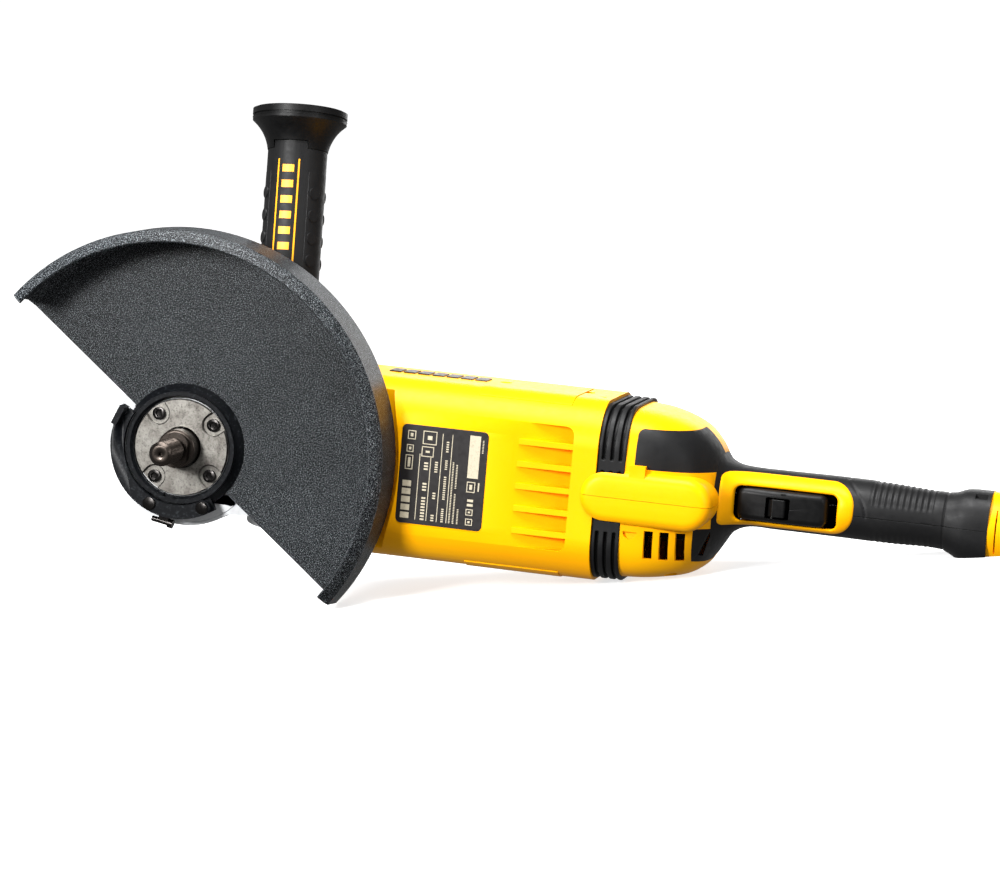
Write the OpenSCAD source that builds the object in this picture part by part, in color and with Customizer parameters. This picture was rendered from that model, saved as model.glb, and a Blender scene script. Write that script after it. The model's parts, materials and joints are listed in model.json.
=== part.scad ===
// Large two-handed angle grinder for a 230 mm disc.
// X runs along the motor axis towards the rear handle, +Z towards the side handle,
// and the disc spindle points along -Y. The origin is the spindle axis at the shoulder
// where the disc thread starts. Millimetres.

/* [Spindle and gears] */
// Length of the disc thread in front of the spindle shoulder
thread_len = 24; // [20:1:26]
// Radius of the disc thread
thread_r = 7; // [6:0.5:7]
// Distance from the spindle shoulder to the motor axis
axis_y = 64; // [62:1:66]
// Teeth on the pinion
pinion_teeth = 10; // [10:1:10]
// Teeth on the ring gear
ring_teeth = 34; // [34:1:34]
// Gear module at the large end
gear_module = 2; // [1.9:0.05:2]

/* [Guard] */
// Outer radius of the disc guard
guard_r = 125; // [122:1:126]
// Sheet thickness of the guard
guard_t = 2.5; // [2:0.25:3]
// Direction that the middle of the guard faces, from +X towards +Z
guard_angle = 52; // [40:1:60]
// Radius of the collar bore that turns on the spigot
collar_r = 28.45; // [28.44:0.01:28.5]

/* [Motor housing] */
// Width of the motor housing along Z
body_w = 102; // [98:1:104]
// Depth of the motor housing along Y
body_d = 98; // [96:1:100]
// Rounding of the long edges of the housing
body_round = 26; // [22:1:30]
// Wall thickness of the motor housing
body_wall = 3.5; // [2.5:0.5:3.5]

/* [Handles] */
// Rear end of the black rear handle
handle_end_x = 455; // [450:1:460]
// Length of the side handle along its own axis
side_handle_len = 146; // [140:1:155]
// Lean of the side handle away from the disc side
side_handle_lean = 11; // [8:1:13]
// Radius of the side handle's end flange
flange_r = 27.4; // [25:0.2:28]

/* [Hidden] */
$fn = 64;

yellow = [1.0, 0.76, 0.02];
black = [0.12, 0.12, 0.13];
rubber = [0.17, 0.17, 0.18];
steel = [0.62, 0.6, 0.57];
dark_steel = [0.25, 0.25, 0.26];
alloy = [0.75, 0.76, 0.77];
copper = [0.75, 0.42, 0.2];
brass = [0.8, 0.65, 0.3];

// Stations along the motor axis
flange_x = 92;          // gear case meets the motor housing
body_end_x = 240;       // motor housing ends
ring_end_x = 256;       // vibration ring ends, rear housing starts
neck_x = 303;           // yellow rear housing ends at the handle neck
pod_x0 = 231;
pod_x1 = 306;
pod_half = 15;
pod_y = 12;
body_low = axis_y - body_d / 2;
// Stations along the spindle axis
plate_y = 14;
plate_t = 3;
spigot_y = plate_y + plate_t;
cover_y = 24;
cover_t = 6;
case_low = 24.5;
guard_back = 22;
lip_y = -11;
relief_r = guard_r + 2.5;   // hollow in the housing that clears the guard
bearing_y = 20;
screw_circle = 23.1;
lock_x = -19;
web_y = 52;
lever_y = 9.5;
lever_t = 3;
rivet_r = 36.4;
rivet_pivot_a = -63;
rivet_pawl_a = -114;
fit = 0.05;
big = 400;

// ---- placing helpers -------------------------------------------------------
module y_slab(y0, y1) { translate([0, y1, 0]) rotate([90, 0, 0]) linear_extrude(y1 - y0) children(); }
module x_slab(x0, x1) { translate([x0, 0, 0]) rotate([90, 0, 90]) linear_extrude(x1 - x0) children(); }
module z_slab(z0, z1) { translate([0, 0, z0]) linear_extrude(z1 - z0) children(); }
module y_rod(y0, y1, r, x = 0, z = 0) {
    translate([x, y0, z]) rotate([-90, 0, 0]) cylinder(h = y1 - y0, r = r);
}
module x_rod(x0, x1, r, y = axis_y, z = 0) {
    translate([x0, y, z]) rotate([0, 90, 0]) cylinder(h = x1 - x0, r = r);
}
module y_turn() { rotate([-90, 0, 0]) rotate_extrude() children(); }
module x_turn() { translate([0, axis_y, 0]) rotate([0, 90, 0]) rotate_extrude() children(); }
module block(lo, hi) { translate(lo) cube(hi - lo); }
module about_spindle(a) { rotate([0, -a, 0]) children(); }

// Rectangle with round corners, from one corner to the other
module round_rect(x0, x1, y0, y1, r) {
    translate([x0 + r, y0]) square([x1 - x0 - 2 * r, y1 - y0]);
    translate([x0, y0 + r]) square([x1 - x0, y1 - y0 - 2 * r]);
    for (x = [x0 + r, x1 - r], y = [y0 + r, y1 - r]) translate([x, y]) circle(r);
}

// Cross-section of the motor housing, drawn in from its outside by inset
module body_section(inset = 0) {
    round_rect(body_low + inset, axis_y + body_d / 2 - inset,
        -body_w / 2 + inset, body_w / 2 - inset, body_round - inset);
}

// Round wire along a helix about +Z
module coil_spring(r, wire_r, h, turns) {
    sides = 6;
    rings = turns * 10;
    points = [for (i = [0:rings], k = [0:sides - 1])
        let (a = 360 * turns * i / rings, t = 360 * k / sides, rr = r + wire_r * cos(t))
        [rr * cos(a), rr * sin(a), wire_r + (h - 2 * wire_r) * i / rings + wire_r * sin(t)]];
    walls = [for (i = [0:rings - 1], k = [0:sides - 1])
        let (n = (k + 1) % sides)
        [i * sides + n, (i + 1) * sides + n, (i + 1) * sides + k, i * sides + k]];
    ends = [[for (k = [0:sides - 1]) sides - 1 - k], [for (k = [0:sides - 1]) rings * sides + k]];
    polyhedron(points, concat(walls, ends), convexity = 6);
}

// ---- rear housing and handle form -----------------------------------------
// Each station is [x, middle y, half depth, middle z, half width, squareness]
stations = [
    [256, 64, 47, 0, 47.8, 4.3], [268, 64, 46.6, -0.2, 46.8, 4.2], [280, 64, 44.5, -0.8, 44.6, 3.8],
    [291, 65, 40.5, -2, 41, 3.4], [299, 66.3, 34, -3.1, 34.9, 3], [305, 67.6, 28, -3, 26, 2.7],
    [311, 68.8, 23.5, 0.2, 19.6, 2.5], [320, 69.6, 20.6, 1.9, 16.8, 2.4], [335, 70, 19.5, 1.9, 16.7, 2.3],
    [372, 70, 19, 2, 16.9, 2.3], [400, 70, 18.8, 1.6, 16.8, 2.3], [428, 70, 18, 1, 15.9, 2.3],
    [434, 70, 18.8, 0.2, 17.2, 2.4], [441, 70, 20.4, -0.4, 20.2, 2.6], [455, 70, 20.8, -0.4, 20.6, 2.9]];
section_steps = 32;
function section_ring(s, inset) = [for (k = [0:section_steps - 1])
    let (a = 360 * k / section_steps, c = cos(a), d = sin(a), p = 2 / s[5])
    [s[0], s[1] + (s[2] - inset) * sign(c) * pow(abs(c), p),
        s[3] + (s[4] - inset) * sign(d) * pow(abs(d), p)]];
module loft(list, inset) {
    n = section_steps;
    m = len(list);
    points = [for (s = list) each section_ring(s, inset)];
    walls = [for (i = [0:m - 2], k = [0:n - 1])
        let (j = (k + 1) % n) [(i + 1) * n + k, (i + 1) * n + j, i * n + j, i * n + k]];
    caps = [[for (k = [0:n - 1]) k], [for (k = [0:n - 1]) m * n - 1 - k]];
    polyhedron(points, concat(walls, caps), convexity = 6);
}
// The inner form runs 1 mm past both ends so that the shell is open there
function stretched(list) = [for (i = [0:len(list) - 1]) let (s = list[i])
    i == 0 ? [s[0] - 1, s[1], s[2], s[3], s[4], s[5]]
    : i == len(list) - 1 ? [s[0] + 1, s[1], s[2], s[3], s[4], s[5]] : s];
module rear_form() { loft(stations, 0); }
module rear_hollow() { loft(stretched(stations), 3); }
module rear_shell() { difference() { rear_form(); rear_hollow(); } }

// Boss along the underside, which bridges the vibration ring
module pod_outline(inset) {
    round_rect(pod_x0 + inset, pod_x1 - inset, -pod_half + inset, pod_half - inset, pod_half - inset - 0.1);
}
module pod() {
    difference() {
        union() {
            y_slab(pod_y, 50) pod_outline(0);
            block([259, pod_y + 1.5, pod_half - 2], [268, 20, pod_half + 4]);
        }
        y_slab(pod_y + 2.5, 60) pod_outline(2.5);
        block([pod_x0 - 5, 14.6, -30], [ring_end_x + 0.2, 60, 30]);
        rear_hollow();
    }
}

// Screws that hold the two halves together, with the bosses that they bite into
joint_places = [[283, 96], [283, 38], [314, 84], [396, 82], [446, 84]];
module joint_screws(z0, z1, r) {
    for (p = joint_places) translate([p[0], p[1], z0]) cylinder(h = z1 - z0, r = r);
}
module joint_bosses() { intersection() { joint_screws(-50, 50, 5.6); rear_form(); } }
module joint_bores() { joint_screws(-60, -8.45, 3.7); joint_screws(-9, 9.1, 1.95); joint_screws(9.5, 50, 4); }

// Stretches of the rear shell that the black handle material covers
module black_zone() {
    block([neck_x, -10, -60], [handle_end_x + 10, 140, 60]);
    block([261, -10, 17], [neck_x + 1, 66, 39]);
    block([276, 31, 0], [290, 45, 18]);     // lower screw boss of the left half
    y_slab(-10, 66) polygon([[295, -14.5], [neck_x + 1, -14.5], [neck_x + 1, -36], [294.5, -33.5]]);
}
vent_x = [269.5, 278, 286.5];
module rear_cuts() {
    for (x = vent_x) block([x, 5, -33], [x + 5, 40, -17]);
    y_rod(5, 19.5, 4, 261.5, -18.5);
}
module trigger_slot(x0, x1, half, r) { y_slab(40, 64) round_rect(x0, x1, -half + 0.5, half + 0.5, r); }

module rear_housing() {
    difference() {
        union() {
            difference() { union() { rear_shell(); joint_bosses(); } black_zone(); }
            pod();
        }
        rear_cuts();
        joint_bores();
    }
}
module handle_body() {
    difference() {
        intersection() { union() { rear_shell(); joint_bosses(); } black_zone(); }
        joint_bores();
        y_slab(pod_y, 55) pod_outline(-0.05);
        block([258.9, 0, pod_half - 2], [268.1, 24, pod_half + 4.1]);
        trigger_slot(312, 372, 10.5, 4);
        block([446, 40, 17], [453, 60, 24]);
        y_slab(0, 60) polygon([[306, -16], [303.5, -16], [298.5, -30], [300.5, -31]]);
    }
}
module left_half() { block([200, -50, 0], [500, 150, 100]); }
module right_half() { block([200, -50, -100], [500, 150, 0]); }

module rear_housing_left() { color(yellow) intersection() { rear_housing(); left_half(); } }
module rear_housing_right() { color(yellow) intersection() { rear_housing(); right_half(); } }
module handle_shell_left() { color(black) intersection() { handle_body(); left_half(); } }
module handle_shell_right() { color(black) intersection() { handle_body(); right_half(); } }

// ---- gear case -------------------------------------------------------------
case_r = 46;
neck_half = 36;
gear_room_r = 38.5;
boss_x = 45.4;
boss_y = 53.3;
// Side handle bosses: the distance of each mouth from the boss centre, and the socket depth
boss_ends = [54, 44];
socket_depth = 20;
module case_outline() {
    circle(case_r);
    for (m = [0, 1]) mirror([0, m]) polygon([[0, -1], [0, neck_half + 2], [boss_x, neck_half],
        [60, neck_half + 6], [74, body_w / 2], [flange_x, body_w / 2], [flange_x, -1]]);
}
module case_side() {
    top = axis_y + body_d / 2;
    polygon([[-case_r, case_low], [flange_x, case_low], [flange_x, top], [70, top - 1], [35, top - 6],
        [-22, top - 9], [-36, top - 15], [-43, top - 24], [-case_r, top - 36]]);
}
module side_axis() { translate([boss_x, boss_y, 0]) rotate([-side_handle_lean, -3.7, 0]) children(); }
module lock_bore() { y_rod(60, 130, 3.1, lock_x); }
module gear_case() {
    color(alloy) difference() {
        union() {
            intersection() {
                y_slab(case_low, 130) case_outline();
                z_slab(-60, 60) case_side();
                x_slab(-60, flange_x) body_section();
            }
            for (m = [0, 1]) mirror([0, 0, m]) side_axis()
                translate([0, 0, 28]) cylinder(h = boss_ends[m] - 28, r = 14);
            y_rod(95, axis_y + body_d / 2 - 6, 13, lock_x);
        }
        y_rod(0, cover_y + cover_t, 44.2);
        y_rod(cover_y + cover_t - 1, 78, gear_room_r);
        x_rod(30, 53, 17.2);
        x_rod(51.9, 63, 17.51);
        x_rod(62.9, 71, 14);
        x_rod(70, flange_x + 1, 37.5);
        y_rod(77, 94, 8.01);
        lock_bore();
        y_rod(95.5, 130, 9.6, lock_x);
        for (m = [0, 1]) mirror([0, 0, m]) side_axis()
            translate([0, 0, boss_ends[m] - socket_depth]) cylinder(h = 30, r = thread_r);
        corner_screws(50, 79.5, 5.2);
        corner_screws(79, flange_x + 1, 2.7);
        case_screw_holes(29, 44, 1.9);
        for (i = [-2:2], m = [0, 1]) mirror([0, 0, m])
            block([74, axis_y + 7 * i - 1.7, 30], [88, axis_y + 7 * i + 1.7, 60]);
    }
}
corners = [[-29, -39], [-29, 39], [37, -39], [37, 39]];
corner_boss_r = 8.2;
module corner_screws(x0, x1, r) { for (c = corners) x_rod(x0, x1, r, axis_y + c[0], c[1]); }
module gear_case_screws() {
    color(dark_steel) difference() {
        union() {
            corner_screws(74.5, 79.5, 4.6);
            corner_screws(79, 112, 2.4);
        }
        for (c = corners) translate([74, axis_y + c[0], c[1]])
            rotate([0, 90, 0]) cylinder(h = 3, r = 2.6, $fn = 6);
    }
}
cover_circle = 40.6;
module case_screw_holes(y0, y1, r) { for (a = [45:90:315]) about_spindle(a) y_rod(y0, y1, r, cover_circle); }
module cover_screws() {
    color(dark_steel) difference() {
        union() { case_screw_holes(25, 28, 3); case_screw_holes(27.9, 42, 1.8); }
        for (a = [45:90:315]) about_spindle(a) translate([cover_circle, 24.9, 0])
            rotate([-90, 0, 0]) cylinder(h = 1.6, r = 1.6, $fn = 6);
    }
}
module gear_case_cover() {
    color(alloy) difference() {
        union() {
            y_rod(spigot_y, cover_y + 0.5, collar_r - fit);
            y_rod(cover_y, cover_y + cover_t, 44);
            y_rod(cover_y + cover_t - 0.5, 35, 26);
        }
        y_rod(spigot_y - 1, bearing_y + 12.02, 20.01);
        y_rod(bearing_y + 12, 40, 14);
        case_screw_holes(20, 28.02, 3.1);
        case_screw_holes(27, 40, 1.9);
        for (a = screw_angles) about_spindle(a) y_rod(spigot_y - 1, spigot_y + 6, 1.9, screw_circle);
    }
}
screw_angles = [39, 129, 231, 321];
recess_r = 6;
module retainer_plate() {
    color(steel) difference() {
        y_rod(plate_y, spigot_y, 27.5);
        y_rod(plate_y - 1, spigot_y + 1, 11.6);
        for (a = screw_angles) about_spindle(a) {
            y_slab(plate_y - 1, plate_y + 1.6) {
                translate([screw_circle, 0]) circle(recess_r);
                translate([screw_circle, -recess_r]) square([10, 2 * recess_r]);
            }
            y_rod(plate_y - 1, spigot_y + 1, 2, screw_circle);
        }
    }
}
module retainer_screws() {
    color(dark_steel) for (a = screw_angles) about_spindle(a) difference() {
        union() {
            y_rod(plate_y - 0.4, plate_y + 1.6, 3.6, screw_circle);
            y_rod(plate_y + 1.5, spigot_y + 5, 1.8, screw_circle);
        }
        translate([screw_circle, plate_y - 0.5, 0])
            rotate([-90, 0, 0]) cylinder(h = 1.3, r = 1.9, $fn = 6);
    }
}
module spindle_seal() {
    color(rubber) difference() { y_rod(spigot_y + 0.02, bearing_y, 20); y_rod(0, 40, 11.3); }
}

// Sealed ball bearing about +Z: two races with the seals set back between them
module ball_bearing(bore, outer, width) {
    race = 2.6;
    rotate_extrude() {
        translate([outer - race, 0]) square([race, width]);
        translate([bore, 0]) square([race, width]);
        translate([bore + race - 0.5, 0.7]) square([outer - bore - 2 * race + 1, width - 1.4]);
    }
}
module spindle_bearing() {
    color(steel) translate([0, bearing_y, 0]) rotate([-90, 0, 0]) ball_bearing(8.51, 20, 12);
}
module front_motor_bearing() {
    color(steel) translate([52, axis_y, 0]) rotate([0, 90, 0]) ball_bearing(7.51, 17.5, 11);
}
module rear_motor_bearing() {
    color(steel) translate([231, axis_y, 0]) rotate([0, 90, 0]) ball_bearing(5.01, 13, 9);
}
module needle_bearing() {
    color(steel) difference() { y_rod(80, 92, 8); y_rod(79, 93, 6.2); }
    color(steel) for (a = [0:30:330]) about_spindle(a) y_rod(81, 91, 0.55, 5.62, 0, $fn = 16);
}

// ---- motor housing and what it holds --------------------------------------
louvre_x0 = 192;
louvre_x1 = 226;
rib_z = [-25, -12.5, 0, 12.5, 25];
module louvre_pocket(grow) {
    intersection() {
        z_slab(-34 - grow, 36 + grow) polygon([
            [louvre_x0 - grow, body_low - 1], [louvre_x1 + grow, body_low - 1],
            [louvre_x1 + grow, body_low + 9.5 + grow], [louvre_x0 - grow, body_low + grow]]);
        y_slab(0, 60) round_rect(louvre_x0 - 8 - grow, louvre_x1 + grow, -34 - grow, 36 + grow, 5 + grow);
    }
}
module louvre_ribs() {
    for (z = rib_z) z_slab(z - 1.5, z + 1.5)
        polygon([[louvre_x0 + 3, body_low + 0.2], [louvre_x1 + 1, body_low + 1],
            [louvre_x1 + 1, body_low + 11], [louvre_x0 + 3, body_low + 2]]);
}
module motor_housing() {
    color(yellow) difference() {
        union() {
            difference() {
                x_slab(flange_x, body_end_x) body_section();
                x_slab(flange_x - 1, body_end_x + 1) body_section(body_wall);
            }
            intersection() {
                corner_screws(flange_x, 118, corner_boss_r);
                x_slab(flange_x, body_end_x) body_section(1);
            }
            intersection() {
                louvre_pocket(2.5);
                x_slab(flange_x, body_end_x) body_section(0.5);
            }
            intersection() {
                y_rod(0, case_low + 3, relief_r + 3.5);
                x_slab(flange_x, body_end_x) body_section();
            }
        }
        difference() { louvre_pocket(0); louvre_ribs(); }
        corner_screws(80, 112.5, 2.45);
        y_rod(0, case_low, relief_r);
        label_pocket();
        brush_doors(0, 0.15);
        for (b = [-1, 1]) translate([222, axis_y, b * 44]) cylinder(h = 20, r = 4, center = true);
        z_slab(40, 60) polygon([[231, axis_y - 14], [235.5, axis_y - 12], [235.5, axis_y - 16]]);
    }
}
module label_outline(inset) { round_rect(128 + inset, 178 - inset, -28 + inset, 28 - inset, 3 - inset); }
module label_pocket() { y_slab(body_low - 1, body_low + 0.7) label_outline(0); }
module label_plate() { color(black) y_slab(body_low - 0.2, body_low + 0.7) label_outline(0.1); }
module side_badge() {
    color(black) z_slab(body_w / 2, body_w / 2 + 0.7) round_rect(106, 165, axis_y - 11, axis_y + 11, 2);
}
// Doors over the carbon brushes, let into both sides of the housing
module brush_doors(lift, gap) {
    for (m = [0, 1]) mirror([0, 0, m]) intersection() {
        x_slab(167 - gap, 221 + gap) difference() {
            body_section(-lift - (gap > 0 ? 1 : 0));
            body_section(2.2);
        }
        block([160, axis_y - 37 - gap, 30], [230, axis_y + 20 + gap, 60]);
    }
}
module brush_covers() {
    color(yellow) difference() {
        brush_doors(0.5, 0);
        for (m = [0, 1]) mirror([0, 0, m])
            translate([174, axis_y, body_w / 2 - 0.8]) cylinder(h = 3, r = 3.5);
    }
}
module air_baffle() {
    color(black) difference() {
        x_slab(100, 103) body_section(body_wall + 0.05);
        x_rod(99, 104, 33);
        corner_screws(99, 104, corner_boss_r + 0.1);
        y_rod(0, case_low + 3.05, relief_r + 3.6);
    }
}
stator_x0 = 133;
stator_x1 = 190;
module stator_core() {
    color(dark_steel) difference() {
        x_rod(stator_x0, stator_x1, 43.5);
        x_rod(stator_x0 - 1, stator_x1 + 1, 28);
        for (b = [0, 180]) x_slab(stator_x0 - 1, stator_x1 + 1) translate([axis_y, 0]) rotate(b)
            difference() {
                intersection() { circle(36); translate([8, -40]) square([40, 80]); }
                circle(31);
                translate([0, -13]) square([60, 26]);
            }
    }
}
module field_coils() {
    color(copper) for (b = [0, 180]) x_slab(stator_x0 - 6, stator_x1 + 6) translate([axis_y, 0]) rotate(b)
        difference() {
            intersection() { circle(35.4); translate([9, -40]) square([40, 80]); }
            circle(31.6);
            translate([0, -13.8]) square([60, 27.6]);
        }
}
brush_x = 213;
module brush_holders() {
    color(brass) for (m = [0, 1]) mirror([0, 0, m]) difference() {
        block([brush_x - 6, axis_y - 10, 19], [brush_x + 6, axis_y + 10, 46]);
        block([brush_x - 4.1, axis_y - 8.1, 18], [brush_x + 4.1, axis_y + 8.1, 44.5]);
    }
}
module carbon_brushes() {
    color([0.2, 0.2, 0.2]) for (m = [0, 1]) mirror([0, 0, m])
        block([brush_x - 4, axis_y - 8, 17.2], [brush_x + 4, axis_y + 8, 34]);
}
module brush_springs() {
    color(steel) for (m = [0, 1]) mirror([0, 0, m])
        translate([brush_x, axis_y, 34.1]) coil_spring(2.8, 0.5, 10.3, 4);
}
module rear_bearing_bracket() {
    color(black) difference() {
        union() {
            x_rod(230, 240, 17);
            x_slab(232, 236) difference() { body_section(body_wall + 0.05); for (a = [45:90:315])
                translate([axis_y + 31 * cos(a), 31 * sin(a)]) circle(11); }
        }
        x_rod(229, 240.1, 13.01);
        for (b = [-1, 1]) translate([222, axis_y, b * 44]) cylinder(h = 20, r = 4, center = true);
    }
}
module vibration_ring() {
    color(rubber) difference() {
        x_slab(body_end_x, ring_end_x) body_section(1.6);
        x_slab(body_end_x - 1, ring_end_x + 1) body_section(8);
        for (x = [242.4, 247.2, 252]) x_slab(x, x + 1.9) difference() {
            body_section(-2);
            body_section(4.6);
            for (s = [-1, 1]) translate([-20, s * 17 - 3]) square([200, 6]);
        }
        y_slab(0, 15.6) pod_outline(-0.4);
    }
}

// ---- handle fittings -------------------------------------------------------
module housing_screws() {
    color(dark_steel) difference() {
        union() { joint_screws(-11, 9, 1.9); joint_screws(-11, -8.5, 3.6); }
        for (p = joint_places) translate([p[0], p[1], -12]) cylinder(h = 2.6, r = 1.7, $fn = 6);
    }
}
module frame_window() { y_slab(30, 80) round_rect(312.8, 370.8, -9.6, 10.4, 3.5); }
module trigger_frame() {
    color(yellow) difference() {
        intersection() {
            difference() { loft(stations, -0.6); loft(stretched(stations), 4.2); }
            y_slab(40, 62) union() {
                round_rect(306.5, 380, -12.5, 17.2, 9);
                translate([306.5, -12.5]) square([14, 29.7]);
            }
        }
        rear_shell_outside_window();
        frame_window();
        y_slab(0, 50.5) pod_outline(-0.2);
    }
}
// The frame fills the window through the wall and stands a little proud round it
module rear_shell_outside_window() {
    difference() { loft(stretched(stations), -0.03); trigger_slot(312.05, 371.95, 10.45, 3.95); }
}
module switch_module() {
    color([0.3, 0.3, 0.32]) difference() {
        union() {
            block([322, 68, -8], [362, 81.5, 10]);
            y_rod(64.4, 69, 3, 352, 1);
            block([326, 81, -5], [334, 83, 7]);
        }
        for (x = [326, 356]) z_slab(-20, 20) translate([x, 78]) circle(1.5);
    }
}
module soft_start_module() {
    color([0.15, 0.2, 0.35]) difference() {
        block([262, 48, -24], [292, 82, 24]);
        for (z = [-16:8:16]) block([261, 46, z - 2], [293, 50, z + 2]);
    }
}
module end_cap() {
    color(yellow) difference() {
        translate([0, 70, -0.4]) rotate([0, 90, 0]) rotate_extrude() difference() {
            translate([0, handle_end_x]) union() {
                square([20.6, 12]);
                square([14.6, 18]);
                translate([14.6, 12]) circle(6);
            }
            translate([0, handle_end_x - 1]) square([17.6, 14.5]);
            square([8.2, 600]);
        }
        block([handle_end_x + 4, 40, -12], [handle_end_x + 4.8, 54, 12]);
    }
}
module cord_gland() {
    color(rubber) translate([0, 70, -0.4]) rotate([0, 90, 0]) rotate_extrude() difference() {
        translate([0, handle_end_x + 10]) union() {
            square([8.1, 14]);
            square([12, 3]);
            translate([0, 8.2]) square([10.5, 3.8]);
        }
        square([5, 600]);
    }
}
module cord_clamp() {
    color(black) difference() {
        block([424, 66, -10], [434, 76.5, 9]);
        x_rod(420, 440, 4.2, 70, -0.4);
        for (s = [-1, 1]) y_rod(60, 80, 1.5, 429, s * 7.5 - 0.4);
    }
}

// ---- side handle, modelled along +Z from the gear case boss ----------------
module on_side_handle() { side_axis() translate([0, 0, 54.1]) children(); }
module side_handle_stud() {
    color(steel) on_side_handle() {
        translate([0, 0, -17]) cylinder(h = 17.2, r = thread_r - 0.02);
        cylinder(h = 4, r = 11, $fn = 6);
        translate([0, 0, 3.9]) cylinder(h = 40, r = 5);
    }
}
flare_r = 26;
// Half outline of the handle, radius against distance along it
module side_outline(inset) {
    len_z = side_handle_len - 4.1;
    difference() {
        union() {
            translate([0, 4.1]) square([17.2 - inset, len_z - 8]);
            translate([0, len_z - 5.5]) square([flange_r - 1.6, 6]);
            translate([0, len_z - 5.2]) square([flange_r, 5]);
            translate([0, 4.1]) square([21, 5]);
            translate([0, len_z - 26]) square([17.2 + 10, 21]);
        }
        translate([17.2 + flare_r, len_z - 5.4 - 22]) circle(flare_r, $fn = 128);
        translate([17.2, len_z - 50]) square([30, 22]);
        translate([17.2 + 8, 9.1 + 7]) circle(8);
    }
}
module side_handle_core() {
    color(black) on_side_handle() difference() {
        intersection() {
            rotate_extrude() side_outline(0);
            union() {
                difference() {
                    translate([0, 0, 118.5]) cylinder(h = 40, r = 40);
                    translate([-10.3, -40, 118]) cube([20.6, 80, 4.7]);
                }
                translate([0, 0, -1]) cylinder(h = 200, r = 15.2);
                translate([0, 0, -1]) cylinder(h = 13, r = 40);
            }
        }
        rotate_extrude() translate([0, side_handle_len - 9]) difference() {
            square([40, 1.3]);
            square([flange_r - 1.2, 1.3]);
        }
        translate([0, 0, -1]) cylinder(h = 5.2, r = 12);
        translate([0, 0, 4]) cylinder(h = 40.2, r = 5.02);
    }
}
module side_handle_sleeve() {
    color(rubber) on_side_handle() difference() {
        union() {
            translate([0, 0, 12.3]) cylinder(h = 106, r = 17.2);
            intersection() {
                cylinder(h = 122.5, r = 17.2);
                translate([-10, -40, 117]) cube([20, 80, 10]);
            }
        }
        translate([0, 0, -1]) cylinder(h = 200, r = 15.25);
        pad_cut();
        stripe_cut(0.15);
    }
}
module pad_zone() {
    for (s = [0, 180]) rotate(s) translate([0, -13, 20]) cube([40, 26, 85]);
}
module pad_cut() { difference() { pad_zone(); cylinder(h = 200, r = 16); } }
module side_handle_pads() {
    color(black) on_side_handle() difference() {
        union() {
            intersection() { pad_zone(); cylinder(h = 150, r = 17.3); }
            for (s = [0, 180], z = [28:13:98], a = [-34, 34]) rotate(s + a) translate([17, 0, z])
                rotate([0, 90, 0]) cylinder(h = 0.9, r = 3.4, $fn = 24);
        }
        translate([0, 0, -1]) cylinder(h = 200, r = 16.02);
        for (s = [0, 180]) rotate(s) {
            translate([0, -33.2, 0]) cube([40, 20.3, 200]);
            translate([0, 12.9, 0]) cube([40, 20, 200]);
        }
    }
}
module stripe_cut(inset) {
    for (x = [-6.6, 5.4]) translate([x + inset, -40, 46 + inset]) cube([1.2 - 2 * inset, 40, 66 - 2 * inset]);
    for (z = [50:9:104])
        translate([-3.6 + inset, -40, z + inset]) cube([7.2 - 2 * inset, 40, 4.6 - 2 * inset]);
}
module side_handle_stripes() {
    color(yellow) on_side_handle() intersection() {
        difference() { cylinder(h = 200, r = 17.35); translate([0, 0, -1]) cylinder(h = 202, r = 15.27); }
        stripe_cut(0.17);
    }
}

// ---- bevel gears -----------------------------------------------------------
cone_len = gear_module / 2 * sqrt(pow(pinion_teeth, 2) + pow(ring_teeth, 2));
face_w = 10;
ring_cone = atan(ring_teeth / pinion_teeth);
pinion_cone = 90 - ring_cone;
// Point at a distance from the apex, an angle from the gear axis (-Z) and a turn about it
function cone_point(dist, polar, turn) =
    [dist * sin(polar) * cos(turn), dist * sin(polar) * sin(turn), -dist * cos(polar)];
module bevel_tooth(cone, tip, root, half_t) {
    tip_a = atan(tip / cone_len);
    root_a = atan(root / cone_len);
    function corners(dist) = [for (p = [[-root_a, half_t + 0.62], [tip_a, half_t - 0.5],
        [tip_a, -half_t + 0.5], [-root_a, -half_t - 0.62]])
        cone_point(dist, cone + p[0], p[1] / (cone_len * sin(cone)) * 180 / PI)];
    polyhedron(concat(corners(cone_len), corners(cone_len - face_w)),
        [[3, 2, 1, 0], [4, 5, 6, 7], [1, 5, 4, 0], [2, 6, 5, 1], [3, 7, 6, 2], [0, 4, 7, 3]]);
}
// Solid of the root cone between the two ends of the teeth
module root_cone(cone, root, bore) {
    a = cone - atan(root / cone_len) + 0.4;
    near = cone_len - face_w;
    rotate_extrude() polygon([[near * sin(a), -near * cos(a)], [cone_len * sin(a), -cone_len * cos(a)],
        [cone_len * sin(a) - 1, -cone_len * cos(a) - (cone > 45 ? 7 : 0)],
        [bore, -cone_len * cos(a) - (cone > 45 ? 7 : 0)], [bore, -near * cos(a) + (cone > 45 ? -3 : 0)],
        [near * sin(a) - (cone > 45 ? 1.5 : 0), -near * cos(a) + (cone > 45 ? -3 : 0)]]);
}
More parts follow.
